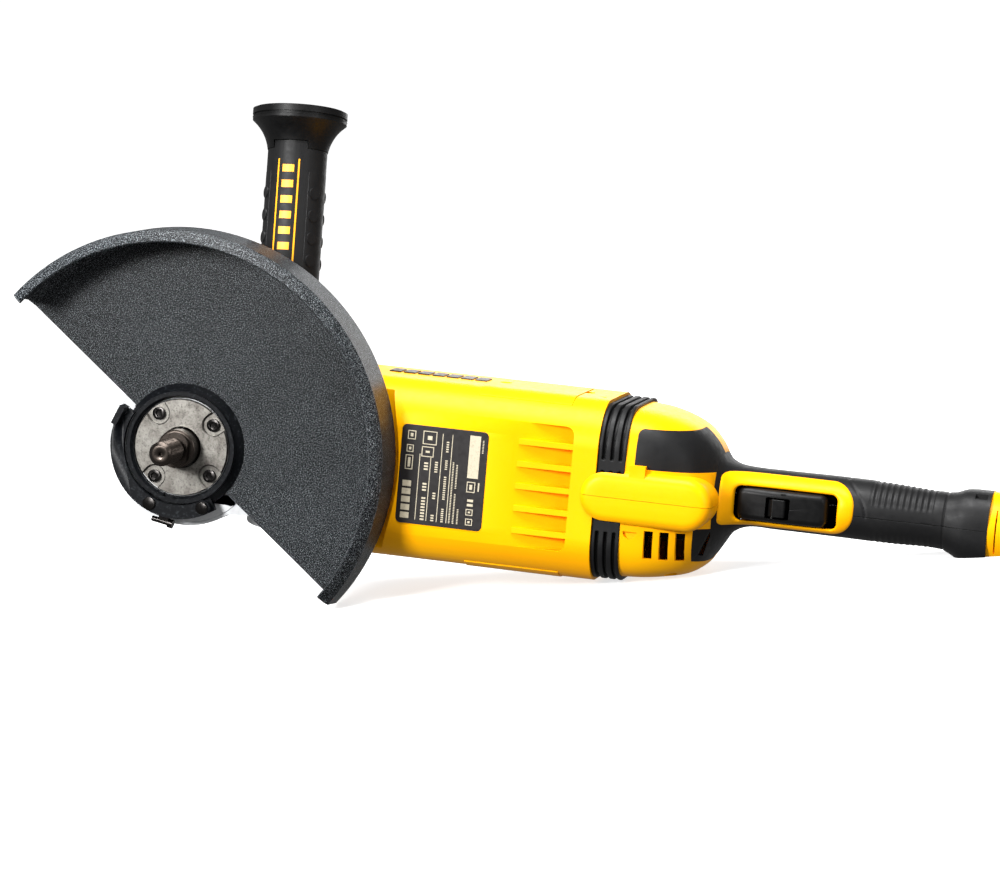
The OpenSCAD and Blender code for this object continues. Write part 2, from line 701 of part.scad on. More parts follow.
// Holes in the gear's web that the lock pin drops into
lock_holes = 7;
module ring_gear() {
    color(dark_steel) difference() {
        translate([0, axis_y, 0]) rotate([-90, 0, 0]) {
            for (i = [0:ring_teeth - 1])
                rotate((i + 0.5) * 360 / ring_teeth) bevel_tooth(ring_cone, 1.4, 2.3, 1.12);
            root_cone(ring_cone, 2, 8);
        }
        y_rod(0, 90, 8.001);
        for (k = [0:lock_holes - 1]) about_spindle(360 * k / lock_holes) y_rod(20, 70, 3.7, lock_x);
    }
}
module pinion() {
    color(dark_steel) difference() {
        translate([0, axis_y, 0]) rotate([0, -90, 0]) {
            for (i = [0:pinion_teeth - 1])
                rotate((i + 0.5) * 360 / pinion_teeth) bevel_tooth(pinion_cone, 1.4, 2.3, 1.12);
            root_cone(pinion_cone, 2, 0);
            translate([0, 0, -40]) cylinder(h = 5.9, r = 7.6);
        }
        x_rod(20, 60, 5.01);
    }
}
module spindle() {
    color(steel) difference() {
        y_turn() union() {
            polygon([[0, -thread_len], [thread_r - 1.5, -thread_len],
                [thread_r, -thread_len + 1.5], [thread_r, 0], [9.6, 0], [9.6, 4], [11, 5],
                [11, 20], [8.5, 20], [8.5, 33], [8, 33.2], [8, 56], [7.4, 57],
                [6.4, 57.4], [5, 66], [5, 92], [4, 93], [0, 93]]);
        }
        for (m = [0, 1]) mirror([m, 0, 0]) block([8, -0.5, -20], [20, 4.2, 20]);
        y_rod(-thread_len - 1, -thread_len + 3, 1.4);
    }
}
module gear_circlip() {
    color(dark_steel) difference() {
        y_rod(33.5, 35, 10.5);
        y_rod(33, 36, 8.02);
        block([-2, 30, 5], [2, 40, 20]);
    }
}

// ---- armature --------------------------------------------------------------
module armature_shaft() {
    color(steel) x_turn() polygon([[0, 27], [4.4, 27], [5, 28], [5, 48], [7.5, 49], [7.5, 226],
        [6, 227], [6, 230], [5, 230.2], [5, 240], [0, 240]]);
}
core_slots = 12;
module armature_core() {
    color(dark_steel) difference() {
        x_rod(136, 188, 27);
        x_rod(135, 189, 7.52);
        for (i = [0:core_slots - 1]) translate([0, axis_y, 0]) rotate([360 * i / core_slots, 0, 0]) {
            block([135, -1.2, 20], [189, 1.2, 30]);
            block([135, -2.6, 14], [189, 2.6, 24]);
        }
    }
}
module armature_windings() {
    color(copper) {
        for (i = [0:core_slots - 1]) translate([0, axis_y, 0]) rotate([360 * i / core_slots, 0, 0])
            block([133.9, -2.4, 14.4], [190.1, 2.4, 23.6]);
        for (x = [127, 190]) difference() {
            x_rod(x, x + 7, 24);
            x_rod(x - 1, x + 8, 8.5);
        }
    }
}
bars = 24;
module commutator() {
    color(copper) difference() {
        union() { x_rod(202, 222, 17); x_rod(200, 203, 19); }
        x_rod(198, 230, 7.52);
        for (i = [0:bars - 1]) translate([0, axis_y, 0]) rotate([360 * i / bars, 0, 0])
            block([199, -0.3, 16], [224, 0.3, 22]);
    }
}
blades = 13;
fan_r = 35.5;
module cooling_fan() {
    color(black) {
        difference() { x_rod(76, 79, fan_r); x_rod(70, 90, 7.52); }
        difference() { x_rod(78, 98, 13); x_rod(70, 99, 7.52); }
        for (i = [0:blades - 1]) translate([0, axis_y, 0]) rotate([360 * i / blades, 0, 0])
            block([78.5, -1, 12], [97, 1, fan_r - 1]);
    }
}

// ---- guard -----------------------------------------------------------------
// The guard ends on a plane across it, which leans so that the plate reaches past the spindle
// axis by cut_past and the lip stops short of it
cut_past = 2.7;
cut_lean = 8.3;
lip_w = 7;
module cut_side() {
    about_spindle(guard_angle) translate([-cut_past, guard_back, 0]) rotate([0, 0, cut_lean])
        translate([-big, -big / 2, -big / 2]) cube(big);
}
module guard_shell() {
    t = guard_t;
    color(black) difference() {
        y_turn() difference() {
            union() {
                translate([0, lip_y]) square([guard_r, guard_back - lip_y - 5]);
                square([guard_r - 5, guard_back]);
                translate([guard_r - 5, guard_back - 5]) circle(5);
                polygon([[guard_r - lip_w, lip_y - 4.6], [guard_r - lip_w + 0.8, lip_y - 5.6],
                    [guard_r - 2.2, lip_y - 3], [guard_r, lip_y + 0.5], [guard_r - 6, lip_y + 2]]);
            }
            translate([0, -40]) square([guard_r - lip_w, 40 + guard_back - t]);
            polygon([[guard_r - lip_w - 1, lip_y - 3], [guard_r - lip_w, lip_y - 3.4],
                [guard_r - 3.4, lip_y - 1], [guard_r - t, lip_y + 1], [guard_r - t, guard_back - 7],
                [guard_r - 7, guard_back - t], [guard_r - lip_w - 1, guard_back - t]]);
            square([collar_r + 3.6, 60]);
        }
        difference() { cut_side(); y_rod(-31, 61, 36); }
    }
}
module guard_collar() {
    color(black) difference() {
        union() {
            y_turn() difference() {
                union() {
                    translate([0, 12]) square([collar_r + 3.55, guard_back - 12]);
                    polygon([[30, 14.5], [collar_r + 3.4, 14.5], [36, guard_back - guard_t - 0.05],
                        [30, guard_back - guard_t - 0.05]]);
                }
                square([collar_r, 60]);
                polygon([[collar_r - 1, 11], [collar_r + 1.2, 11], [collar_r + 1.2, 12.2],
                    [collar_r - 1, 15.5]]);
            }
            // ear that carries the release lever
            intersection() {
                difference() { y_rod(14.8, 18, 40.5); y_rod(0, 40, 31); }
                union() {
                    about_spindle(rivet_pivot_a) block([0, 0, -7], [60, 40, 5]);
                    about_spindle(rivet_pawl_a) block([0, 0, -9], [60, 40, 9]);
                    about_spindle(-88) block([0, 0, -12], [60, 40, 12]);
                }
            }
        }
        about_spindle(rivet_pivot_a) y_rod(0, 40, 2.2, rivet_r);
        about_spindle(rivet_pawl_a) block([31.5, 0, -4.5], [42, 17.2, 4.5]);
        about_spindle(-100) block([20, 12.3, -2.6], [31, 14.7, 2.6]);
        x_rod(-30, 30, 1.6, 21, -40.2);
    }
}
module lever_pivot_rivet() {
    color(steel) about_spindle(rivet_pivot_a) {
        y_rod(lever_y - 1.6, lever_y - 0.05, 3.6, rivet_r);
        y_rod(lever_y - 0.1, 18, 2.2 - 0.002, rivet_r);
    }
}
clamp_screw = [44.5, 16.4];
module guard_clamp_screw() {
    color(dark_steel) about_spindle(-100) {
        z_slab(-7, 3) translate(clamp_screw) circle(1.6);
        z_slab(2.9, 5.9) translate(clamp_screw) circle(2.6);
        block([40.7, 15, -3], [clamp_screw[0], 17.8, 3]);
    }
}

// Release lever: a sheet crescent round the collar with an upright thumb tab
lever_r0 = 32.6;
lever_r1 = 40.6;
// Flat ring segment between two radii and two angles
module arc_band(r0, r1, a0, a1) {
    difference() {
        intersection() {
            circle(r1);
            polygon(concat([[0, 0]], [for (i = [0:12]) let (a = a0 + (a1 - a0) * i / 12)
                [90 * cos(a), 90 * sin(a)]]));
        }
        circle(r0);
    }
}
module guard_lever() {
    color(black) union() {
        y_slab(lever_y, lever_y + lever_t) difference() {
            union() {
                arc_band(lever_r0, lever_r1, -205, rivet_pivot_a);
                arc_band(lever_r0, lever_r1 - 4, -212, -204);
                rotate(rivet_pivot_a) translate([rivet_r, 0]) circle(lever_r1 - rivet_r);
            }
            rotate(rivet_pivot_a) translate([rivet_r, 0]) circle(2.2 + fit);
            rotate(rivet_pawl_a) translate([rivet_r, 0]) circle(2);
        }
        about_spindle(156)
            block([lever_r1 - 3.6, lever_y - 6, -5.5], [lever_r1 - 0.3, lever_y + lever_t, 6]);
    }
}
module lever_pawl() {
    color(steel) about_spindle(rivet_pawl_a) {
        y_rod(lever_y - 1.5, lever_y, 3.6, rivet_r);
        y_rod(lever_y - 0.1, 13, 1.99, rivet_r);
        block([33.2, lever_y + lever_t, -2.4], [38, 17, 2.4]);
    }
}

// ---- spindle lock ----------------------------------------------------------
module lock_button() {
    color(black) difference() {
        union() {
            y_rod(101.5, axis_y + body_d / 2 - 2.5, 9.2, lock_x);
            y_rod(101.5, axis_y + body_d / 2 - 1.5, 8.2, lock_x);
        }
        y_rod(100, 106, 2.5, lock_x);
    }
}
module lock_pin() {
    color(steel) {
        y_rod(web_y + 1.2, 101, 3.1 - fit, lock_x);
        y_rod(100.9, 106, 2.5, lock_x);
    }
}

// ---- trigger ---------------------------------------------------------------
trigger_pivot = [317.5, 58];
module trigger_pin() { color(steel) z_slab(-9.5, 10.3) translate(trigger_pivot) circle(1.6); }
module lock_off_pin() { color(steel) z_slab(-6.8, 7.6) translate(lock_off_pivot) circle(1.1 - 0.02); }
module trigger() {
    color(black) difference() {
        union() {
            difference() {
                intersection() {
                    y_slab(44, 66) round_rect(314, 365.5, -8.8, 9.6, 4);
                    z_slab(-8.8, 9.6) polygon([[314, 50], [318, 48.4], [330, 47.6], [350, 47.8],
                        [361, 49], [365.5, 52], [365.5, 64], [350, 60], [314, 64]]);
                }
                block([316, 51.5, -6.8], [363.4, 70, 7.6]);
                block([331, 40, -6], [344.5, 60, 5.2]);
            }
            z_slab(-8.8, 9.6) translate(trigger_pivot) circle(3);
        }
        z_slab(-20, 20) translate(trigger_pivot) circle(1.6 + fit);
        block([339, 45, 6.6], [341, 49.4, 7.6]);
    }
}
lock_off_pivot = [334, 55];
module lock_off_lever() {
    color([0.08, 0.08, 0.09]) {
        difference() {
            union() {
                z_slab(-5.4, 4.6) polygon([[332.2, 55], [332.6, 49.4], [335, 47.2], [341.5, 47.6],
                    [342.6, 49], [337.5, 50.6], [336, 55]]);
                z_slab(-5.4, 4.6) translate(lock_off_pivot) circle(2.2);
            }
            z_slab(-20, 20) translate(lock_off_pivot) circle(1.1 + fit);
        }
    }
}

gear_case();
gear_case_cover();
cover_screws();
retainer_plate();
retainer_screws();
spindle_seal();
spindle_bearing();
needle_bearing();
gear_case_screws();
motor_housing();
label_plate();
side_badge();
brush_covers();
air_baffle();
stator_core();
field_coils();
brush_holders();
carbon_brushes();
brush_springs();
front_motor_bearing();
rear_motor_bearing();
rear_bearing_bracket();
vibration_ring();
rear_housing_left();
rear_housing_right();
handle_shell_left();
handle_shell_right();
housing_screws();
trigger_frame();
trigger_pin();
switch_module();
soft_start_module();
end_cap();
cord_gland();
cord_clamp();
side_handle_stud();
side_handle_core();
side_handle_sleeve();
side_handle_pads();
side_handle_stripes();
armature_shaft();
armature_core();
armature_windings();
commutator();
cooling_fan();
pinion();
spindle();
ring_gear();
gear_circlip();
guard_shell();
guard_collar();
lever_pivot_rivet();
guard_clamp_screw();
guard_lever();
lever_pawl();
lock_button();
lock_pin();
trigger();
lock_off_lever();
lock_off_pin();
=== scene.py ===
"""Looks of the angle grinder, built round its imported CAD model. Metres, in the CAD frame.

X runs along the motor axis to the rear handle, +Z to the side handle, and the disc
spindle points along -Y from the origin.
"""
import json
import math

import bmesh
import bpy
from mathutils import Matrix, Vector


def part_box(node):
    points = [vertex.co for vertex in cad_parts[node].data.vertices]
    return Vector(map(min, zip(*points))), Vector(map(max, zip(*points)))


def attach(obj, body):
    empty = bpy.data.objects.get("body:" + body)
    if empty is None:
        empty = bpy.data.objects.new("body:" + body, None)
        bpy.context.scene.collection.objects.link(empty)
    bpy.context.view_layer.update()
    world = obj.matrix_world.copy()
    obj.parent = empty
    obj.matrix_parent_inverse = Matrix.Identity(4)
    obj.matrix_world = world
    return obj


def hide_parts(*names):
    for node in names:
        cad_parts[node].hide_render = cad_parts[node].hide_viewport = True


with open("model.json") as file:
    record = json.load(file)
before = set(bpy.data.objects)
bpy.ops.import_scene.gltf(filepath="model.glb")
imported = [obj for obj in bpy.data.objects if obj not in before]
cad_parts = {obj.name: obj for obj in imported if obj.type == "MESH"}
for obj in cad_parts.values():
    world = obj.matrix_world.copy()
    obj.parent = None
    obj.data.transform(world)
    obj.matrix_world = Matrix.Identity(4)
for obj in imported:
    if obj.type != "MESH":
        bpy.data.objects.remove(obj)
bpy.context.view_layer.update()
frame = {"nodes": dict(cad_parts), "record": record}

MM = 0.001


# ---- camera, floor and light ------------------------------------------------
VIEW_FROM = Vector((0.66986, -2.13990, 0.30345))
VIEW_HEADING = math.radians(12.704)     # turned from +Y towards -X
VIEW_DIP = math.radians(7.121)          # looks down by this
VIEW_ROLL = math.radians(4.889)
LENS_MM = 144.0


def make_camera():
    """Long lens that faces the disc side, a little above the tool and towards its rear handle."""
    ahead = Vector((-math.sin(VIEW_HEADING) * math.cos(VIEW_DIP),
                    math.cos(VIEW_HEADING) * math.cos(VIEW_DIP), -math.sin(VIEW_DIP)))
    right = ahead.cross(Vector((0, 0, 1))).normalized()
    up = right.cross(ahead)
    rolled_right = right * math.cos(VIEW_ROLL) + up * math.sin(VIEW_ROLL)
    rolled_up = up * math.cos(VIEW_ROLL) - right * math.sin(VIEW_ROLL)
    data = bpy.data.cameras.new("camera")
    data.lens = LENS_MM
    data.sensor_width = 36.0
    data.clip_end = 50.0
    camera = bpy.data.objects.new("camera", data)
    axes = Matrix((rolled_right, rolled_up, -ahead)).transposed().to_4x4()
    camera.matrix_world = Matrix.Translation(VIEW_FROM) @ axes
    bpy.context.scene.collection.objects.link(camera)
    bpy.context.scene.camera = camera


# The tool lies on the tip of the guard and on the rear housing
REST_ON_GUARD = Vector((0.0965, 0.0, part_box("guard_shell")[0].z - 0.0006))
REST_ON_HOUSING = Vector((0.266, 0.0, -0.0486))
FLOOR_GLOW = (0.70, 1.0)            # near the tool and far from it, where nothing shades it
FLOOR_GLOW_REACH = (1.05, 1.6)      # the glow rises between these distances
FLOOR_GLOW_FROM = (0.2, -0.9, 0)    # measured from here, on the floor
FLOOR_HALF = 9.0
FLOOR_GREY = 0.55


def floor_paint():
    """Pale matt paint that glows, more so far from the tool, to end in pure white."""
    paint = bpy.data.materials.new("floor_paint")
    paint.use_nodes = True
    nodes = paint.node_tree.nodes
    links = paint.node_tree.links
    shader = nodes["Principled BSDF"]
    shader.inputs["Base Color"].default_value = (FLOOR_GREY, FLOOR_GREY, FLOOR_GREY, 1)
    shader.inputs["Roughness"].default_value = 0.7
    shader.inputs["Specular IOR Level"].default_value = 0.1
    shader.inputs["Emission Color"].default_value = (1, 1, 1, 1)
    place = nodes.new("ShaderNodeTexCoord")
    reach = nodes.new("ShaderNodeVectorMath")
    reach.operation = "DISTANCE"
    reach.inputs[1].default_value = FLOOR_GLOW_FROM
    glow = nodes.new("ShaderNodeMapRange")
    glow.interpolation_type = "SMOOTHSTEP"
    limits = (*FLOOR_GLOW_REACH, *FLOOR_GLOW)
    for socket, value in zip(("From Min", "From Max", "To Min", "To Max"), limits):
        glow.inputs[socket].default_value = value
    links.new(place.outputs["Object"], reach.inputs[0])
    links.new(reach.outputs["Value"], glow.inputs["Value"])
    links.new(glow.outputs["Result"], shader.inputs["Emission Strength"])
    return paint


def make_floor():
    """White plane through the two places that the tool rests on, which throws no light on it."""
    slope = REST_ON_HOUSING - REST_ON_GUARD
    tilt = -math.atan2(slope.z, slope.x)
    mesh = bpy.data.meshes.new("floor")
    shape = bmesh.new()
    bmesh.ops.create_grid(shape, x_segments=1, y_segments=1, size=FLOOR_HALF)
    shape.to_mesh(mesh)
    shape.free()
    floor = bpy.data.objects.new("floor", mesh)
    floor.matrix_world = Matrix.Translation(REST_ON_GUARD) @ Matrix.Rotation(tilt, 4, "Y")
    bpy.context.scene.collection.objects.link(floor)
    mesh.materials.append(floor_paint())
    floor.visible_diffuse = False
    floor.visible_glossy = False


def area_light(name, place, aim, size, power):
    """White soft box of this width and height, turned to its aim."""
    data = bpy.data.lights.new(name, "AREA")
    data.shape = "RECTANGLE"
    data.size, data.size_y = size
    data.energy = power
    light = bpy.data.objects.new(name, data)
    light.location = place
    light.rotation_euler = (Vector(aim) - Vector(place)).to_track_quat("-Z", "Y").to_euler()
    bpy.context.scene.collection.objects.link(light)


SKY_SEEN = 1.05      # white paper behind the tool
SKY_LIGHT = 0.27     # what the same paper gives as light
AIM = (0.2, 0.05, 0.0)
FRONT_AIM = (0.05, 0.0, 0.03)


def make_sky():
    """White surroundings that light the tool less than they show."""
    world = bpy.data.worlds.new("studio")
    world.use_nodes = True
    tree = world.node_tree
    sky = tree.nodes["Background"]
    sky.inputs["Color"].default_value = (1, 1, 1, 1)
    path = tree.nodes.new("ShaderNodeLightPath")
    level = tree.nodes.new("ShaderNodeMapRange")
    level.inputs["To Min"].default_value = SKY_LIGHT
    level.inputs["To Max"].default_value = SKY_SEEN
    tree.links.new(path.outputs["Is Camera Ray"], level.inputs["Value"])
    tree.links.new(level.outputs["Result"], sky.inputs["Strength"])
    bpy.context.scene.world = world


def make_light():
    """A broad soft box overhead, a small one in front and weak ones at the side and behind."""
    make_sky()
    area_light("top_box", (-0.05, -0.35, 1.45), AIM, (1.4, 0.8), 58.0)
    area_light("front_box", (-0.45, -1.25, 0.42), FRONT_AIM, (0.35, 0.35), 30.0)
    area_light("side_box", (1.7, -1.1, 0.6), AIM, (0.5, 1.0), 8.0)
    area_light("back_box", (0.2, 1.6, 0.3), AIM, (1.0, 0.6), 5.0)
    bpy.context.scene.view_settings.view_transform = "Standard"


# ---- materials --------------------------------------------------------------
class Finish:
    """A procedural material: a Principled shader and the nodes that feed it."""

    def __init__(self, name, colour, rough, metal=0.0, **fixed):
        """Starts with plain values; fixed names further sockets of the shader."""
        self.mat = bpy.data.materials.new(name)
        self.mat.use_nodes = True
        self.mat.diffuse_color = (*colour, 1)
        self.tree = self.mat.node_tree
        self.shader = self.tree.nodes["Principled BSDF"]
        self.shader.inputs["Base Color"].default_value = (*colour, 1)
        self.shader.inputs["Roughness"].default_value = rough
        self.shader.inputs["Metallic"].default_value = metal
        for socket, value in fixed.items():
            self.shader.inputs[socket.replace("_", " ")].default_value = value
        self.place = self.tree.nodes.new("ShaderNodeTexCoord").outputs["Object"]
        self.height = None

    def link(self, out, to):
        """Joins an output to an input."""
        self.tree.links.new(out, to)

    def noise(self, per_mm, detail=2.0, rough=0.5, stretch=None):
        """Noise with this many waves to the millimetre."""
        node = self.tree.nodes.new("ShaderNodeTexNoise")
        node.inputs["Scale"].default_value = per_mm / MM
        node.inputs["Detail"].default_value = detail
        node.inputs["Roughness"].default_value = rough
        self.link(self.stretched(stretch), node.inputs["Vector"])
        return node.outputs["Fac"]

    def cells(self, per_mm):
        """Distance to the middle of the nearest cell."""
        node = self.tree.nodes.new("ShaderNodeTexVoronoi")
        node.inputs["Scale"].default_value = per_mm / MM
        self.link(self.place, node.inputs["Vector"])
        return node.outputs["Distance"]

    def stretched(self, factors):
        """Object coordinates, times these factors if there are any."""
        if factors is None:
            return self.place
        node = self.tree.nodes.new("ShaderNodeVectorMath")
        node.operation = "MULTIPLY"
        self.link(self.place, node.inputs[0])
        node.inputs[1].default_value = factors
        return node.outputs[0]

    def ramp(self, value, *stops):
        """Colour or grey that a value maps to, from (position, colour or grey) stops."""
        node = self.tree.nodes.new("ShaderNodeValToRGB")
        band = node.color_ramp
        while len(band.elements) < len(stops):
            band.elements.new(0.5)
        for element, (position, shade) in zip(band.elements, stops):
            element.position = position
            element.color = (*shade, 1) if isinstance(shade, tuple) else (shade, shade, shade, 1)
        self.link(value, node.inputs["Fac"])
        return node.outputs["Color"]

    def mix(self, share, a, b, blend="MIX"):
        """Colour a with this share of b; each may be a fixed value or an output."""
        node = self.tree.nodes.new("ShaderNodeMix")
        node.data_type = "RGBA"
        node.blend_type = blend
        for socket, value in zip((node.inputs[0], node.inputs[6], node.inputs[7]), (share, a, b)):
            if isinstance(value, tuple):
                socket.default_value = (*value, 1)
            elif isinstance(value, (int, float)):
                socket.default_value = value
            else:
                self.link(value, socket)
        return node.outputs[2]

    def colour(self, out):
        """Takes the base colour from an output."""
        self.link(out, self.shader.inputs["Base Color"])

    def rough(self, out):
        """Takes the roughness from an output."""
        self.link(out, self.shader.inputs["Roughness"])

    def bump(self, height, depth_mm, strength=1.0):
        """Adds relief of this depth; calls stack."""
        node = self.tree.nodes.new("ShaderNodeBump")
        node.inputs["Strength"].default_value = strength
        node.inputs["Distance"].default_value = depth_mm * MM
        self.link(height, node.inputs["Height"])
        if self.height is not None:
            self.link(self.height, node.inputs["Normal"])
        self.height = node.outputs["Normal"]
        self.link(self.height, self.shader.inputs["Normal"])


def yellow_plastic():
    """Satin yellow with a little brown grime."""
    f = Finish("yellow_plastic", (1.0, 0.43, 0.0), 0.36, Specular_IOR_Level=0.10)
    drift = f.noise(0.02, 3)
    tone = f.ramp(drift, (0.3, (1.0, 0.41, 0.0)), (0.7, (1.0, 0.46, 0.0)))
    grime = f.ramp(f.noise(0.11, 5, 0.6), (0.62, 0.0), (0.85, 0.16))
    f.colour(f.mix(grime, tone, (0.75, 0.26, 0.005)))
    f.rough(f.ramp(f.noise(0.4, 4), (0.3, 0.3), (0.7, 0.42)))
    f.bump(f.noise(2.2, 2), 0.02, 0.5)
    return f.mat


def rubber(name, shade, rough):
    """Dark, slightly blue and dusty, with a fine pebbled grain."""
    clean = (shade, shade, shade * 1.06)
    dusty = (shade * 2.4, shade * 2.35, shade * 2.3)
    f = Finish(name, clean, rough, Specular_IOR_Level=0.2)
    f.colour(f.mix(f.ramp(f.noise(0.06, 5, 0.65), (0.5, 0.0), (0.8, 0.35)), clean, dusty))
    f.rough(f.ramp(f.noise(0.3, 4), (0.3, rough - 0.06), (0.7, rough + 0.08)))
    f.bump(f.cells(2.6), 0.03, 0.5)
    return f.mat


def guard_coat():
    """Black coat full of pale specks, with broad lighter and darker patches of painted light and shade.
    """
    f = Finish("guard_coat", (0.006, 0.007, 0.009), 0.42, Specular_IOR_Level=0.12)
    grain = f.noise(1.9, 3, 0.85)
    speck = f.ramp(grain, (0.55, 0.0), (0.65, 1.0))
    # Broad noise patches of painted light and shade: they lighten the base and the specks in places,
    # standing in for light falling across the guard
    painted_light_patches = f.ramp(f.noise(0.014, 4, 0.6), (0.35, 0.0), (0.75, 1.0))
    base = f.mix(painted_light_patches, (0.0015, 0.0018, 0.0026), (0.004, 0.0048, 0.0062))
    f.colour(f.mix(speck, base, f.mix(painted_light_patches, (0.30, 0.33, 0.35), (0.42, 0.46, 0.49))))
    f.rough(f.ramp(grain, (0.4, 0.44), (0.7, 0.28)))
    f.bump(grain, 0.10, 0.8)
    return f.mat


def collar_coat():
    """Smoother black coat of the collar and the lever."""
    f = Finish("collar_coat", (0.004, 0.0045, 0.006), 0.42, Specular_IOR_Level=0.12)
    grain = f.noise(0.6, 4, 0.7)
    f.colour(f.ramp(grain, (0.55, (0.0025, 0.003, 0.004)), (0.75, (0.03, 0.034, 0.038))))
    f.rough(f.ramp(grain, (0.4, 0.38), (0.7, 0.48)))
    f.bump(grain, 0.06, 0.6)
    return f.mat


def plate_steel():
    """Stained and pitted bare steel of the retainer plate."""
    f = Finish("plate_steel", (0.36, 0.32, 0.27), 0.42, 1.0)
    stain = f.noise(0.12, 5, 0.65)
    tone = f.ramp(stain, (0.3, (0.11, 0.10, 0.09)), (0.55, (0.22, 0.21, 0.19)),
                  (0.8, (0.34, 0.325, 0.30)))
    pits = f.ramp(f.noise(0.9, 4, 0.7), (0.3, 0.35), (0.5, 1.0))
    f.colour(f.mix(1.0, tone, pits, "MULTIPLY"))
    f.rough(f.ramp(stain, (0.3, 0.52), (0.7, 0.34)))
    f.bump(f.noise(1.1, 4, 0.7), 0.05, 0.6)
    return f.mat


def steel(name, tone, rough, stretch=None):
    """Bare steel of this tone, darker and duller in patches."""
    f = Finish(name, tone, rough, 1.0)
    marks = f.noise(0.5, 5, 0.7, stretch)
    dark = tuple(c * 0.55 for c in tone)
    f.colour(f.ramp(marks, (0.32, dark), (0.62, tone)))
    f.rough(f.ramp(marks, (0.3, rough + 0.16), (0.7, rough - 0.05)))
    f.bump(marks, 0.03, 0.5)
    return f.mat


def cast_alloy():
    """Bright rough casting."""
    f = Finish("cast_alloy", (0.60, 0.61, 0.62), 0.48, 0.45)
    f.colour(f.ramp(f.noise(0.08, 5, 0.6), (0.3, (0.46, 0.47, 0.48)), (0.7, (0.66, 0.67, 0.68))))
    f.rough(f.ramp(f.noise(0.5, 4), (0.3, 0.42), (0.7, 0.6)))
    f.bump(f.noise(1.4, 4, 0.7), 0.07, 0.7)
    return f.mat


def label_foil():
    """Dark foil with a slight wave."""
    f = Finish("label_foil", (0.014, 0.012, 0.012), 0.34, Specular_IOR_Level=0.3)
    f.rough(f.ramp(f.noise(0.5, 3), (0.3, 0.3), (0.7, 0.44)))
    f.bump(f.noise(0.15, 3), 0.03, 0.3)
    return f.mat


def print_ink(name, colour):
    """Ink of this colour, thinner in places."""
    f = Finish(name, colour, 0.45)
    worn = tuple(c * 0.7 for c in colour)
    f.colour(f.ramp(f.noise(0.8, 4, 0.6), (0.25, worn), (0.5, colour)))
    f.bump(f.noise(3.0, 2), 0.01, 0.3)
    return f.mat


def copper_wire():
    """Wound copper, with its turns as relief."""
    f = Finish("copper_wire", (0.72, 0.30, 0.12), 0.34, 1.0)
    f.colour(f.ramp(f.noise(0.3, 4), (0.3, (0.5, 0.17, 0.06)), (0.7, (0.8, 0.36, 0.16))))
    f.bump(f.noise(1.0, 2, 0.5, (4.0, 1.0, 1.0)), 0.15, 0.8)
    return f.mat


def brass_sheet():
    """Dull brass."""
    f = Finish("brass_sheet", (0.72, 0.52, 0.18), 0.34, 1.0)
    f.colour(f.ramp(f.noise(0.3, 4), (0.3, (0.5, 0.34, 0.1)), (0.7, (0.78, 0.58, 0.22))))
    f.bump(f.noise(1.5, 3), 0.02, 0.5)
    return f.mat


def lamination():
    """Stacked core sheets, as stripes across the motor axis."""
    f = Finish("lamination", (0.28, 0.28, 0.30), 0.4, 1.0)
    stack = f.noise(1.6, 1, 0.5, (1.0, 0.02, 0.02))
    f.colour(f.ramp(stack, (0.4, (0.10, 0.10, 0.11)), (0.6, (0.34, 0.34, 0.36))))
    f.bump(stack, 0.08, 0.8)
    return f.mat


# One finish for each material slot of the record
FINISHES = {
    "yellow_plastic": yellow_plastic(),
    "black_plastic": rubber("black_plastic", 0.0022, 0.42),
    "soft_grip": rubber("soft_grip", 0.0065, 0.48),
    "guard_coat": guard_coat(),
    "bearing_steel": steel("bearing_steel", (0.50, 0.48, 0.45), 0.3),
    "spindle_steel": steel("spindle_steel", (0.062, 0.051, 0.044), 0.26, (1.0, 4.0, 1.0)),
    "screw_steel": steel("screw_steel", (0.03, 0.028, 0.027), 0.2),
    "cast_alloy": cast_alloy(),
    "label_foil": label_foil(),
    "stripe_yellow": print_ink("stripe_yellow", (1.0, 0.40, 0.0)),
    "copper": copper_wire(),
    "brass": brass_sheet(),
    "carbon": rubber("carbon", 0.012, 0.6),
    "core_steel": lamination(),
}
# Finishes of single pieces
PLATE = plate_steel()
COLLAR = collar_coat()
INK = print_ink("label_ink", (0.50, 0.44, 0.32))


SLOT_OF = {part["node"]: part["material_slot"] for part in frame["record"]["subparts"]}
BODY_OF = {node: body for body, members in frame["record"]["behaviour"]["bodies"].items()
           for node in members}


def paint_cad_nodes():
    """Every carried CAD node takes the finish of its slot in the record."""
    for node, slot in SLOT_OF.items():
        mesh = frame["nodes"][node].data
        mesh.materials.clear()
        mesh.materials.append(FINISHES[slot])
    frame["nodes"]["retainer_plate"].data.materials[0] = PLATE


# ---- making pieces ----------------------------------------------------------
def piece(name, mesh, body, slot, material=None, stands_for=()):
    """Adds a mesh to the scene as a piece of the object."""
    made = bpy.data.objects.new(name, mesh)
    bpy.context.scene.collection.objects.link(made)
    mesh.materials.clear()
    mesh.materials.append(material or FINISHES[slot])
    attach(made, body)
    if stands_for:
        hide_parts(*stands_for)
    return made


# Pieces with domed heads, whose faces aren't flattened by the shading
DOMED = ("retainer_screws_look", "lever_pivot_rivet_look", "lever_pawl_look")


def soften(made, width_mm, angle=32):
    """Rounds a piece's edges of more than this angle, and shades its large faces flat."""
    made.data.shade_smooth()
    bevel = made.modifiers.new("edges", "BEVEL")
    bevel.width = width_mm * MM
    bevel.segments = 2
    bevel.limit_method = "ANGLE"
    bevel.angle_limit = math.radians(angle)
    bevel.use_clamp_overlap = True
    bevel.miter_outer = "MITER_ARC"
    if made.name in DOMED:
        bevel.harden_normals = True
    else:
        made.modifiers.new("flats", "WEIGHTED_NORMAL").keep_sharp = True
    return made


def sharp(made, degrees):
    """Smooth shading that keeps edges of more than this angle crisp."""
    made.data.set_sharp_from_angle(angle=math.radians(degrees))
    return made


MERGE_ANGLE = math.radians(0.6)


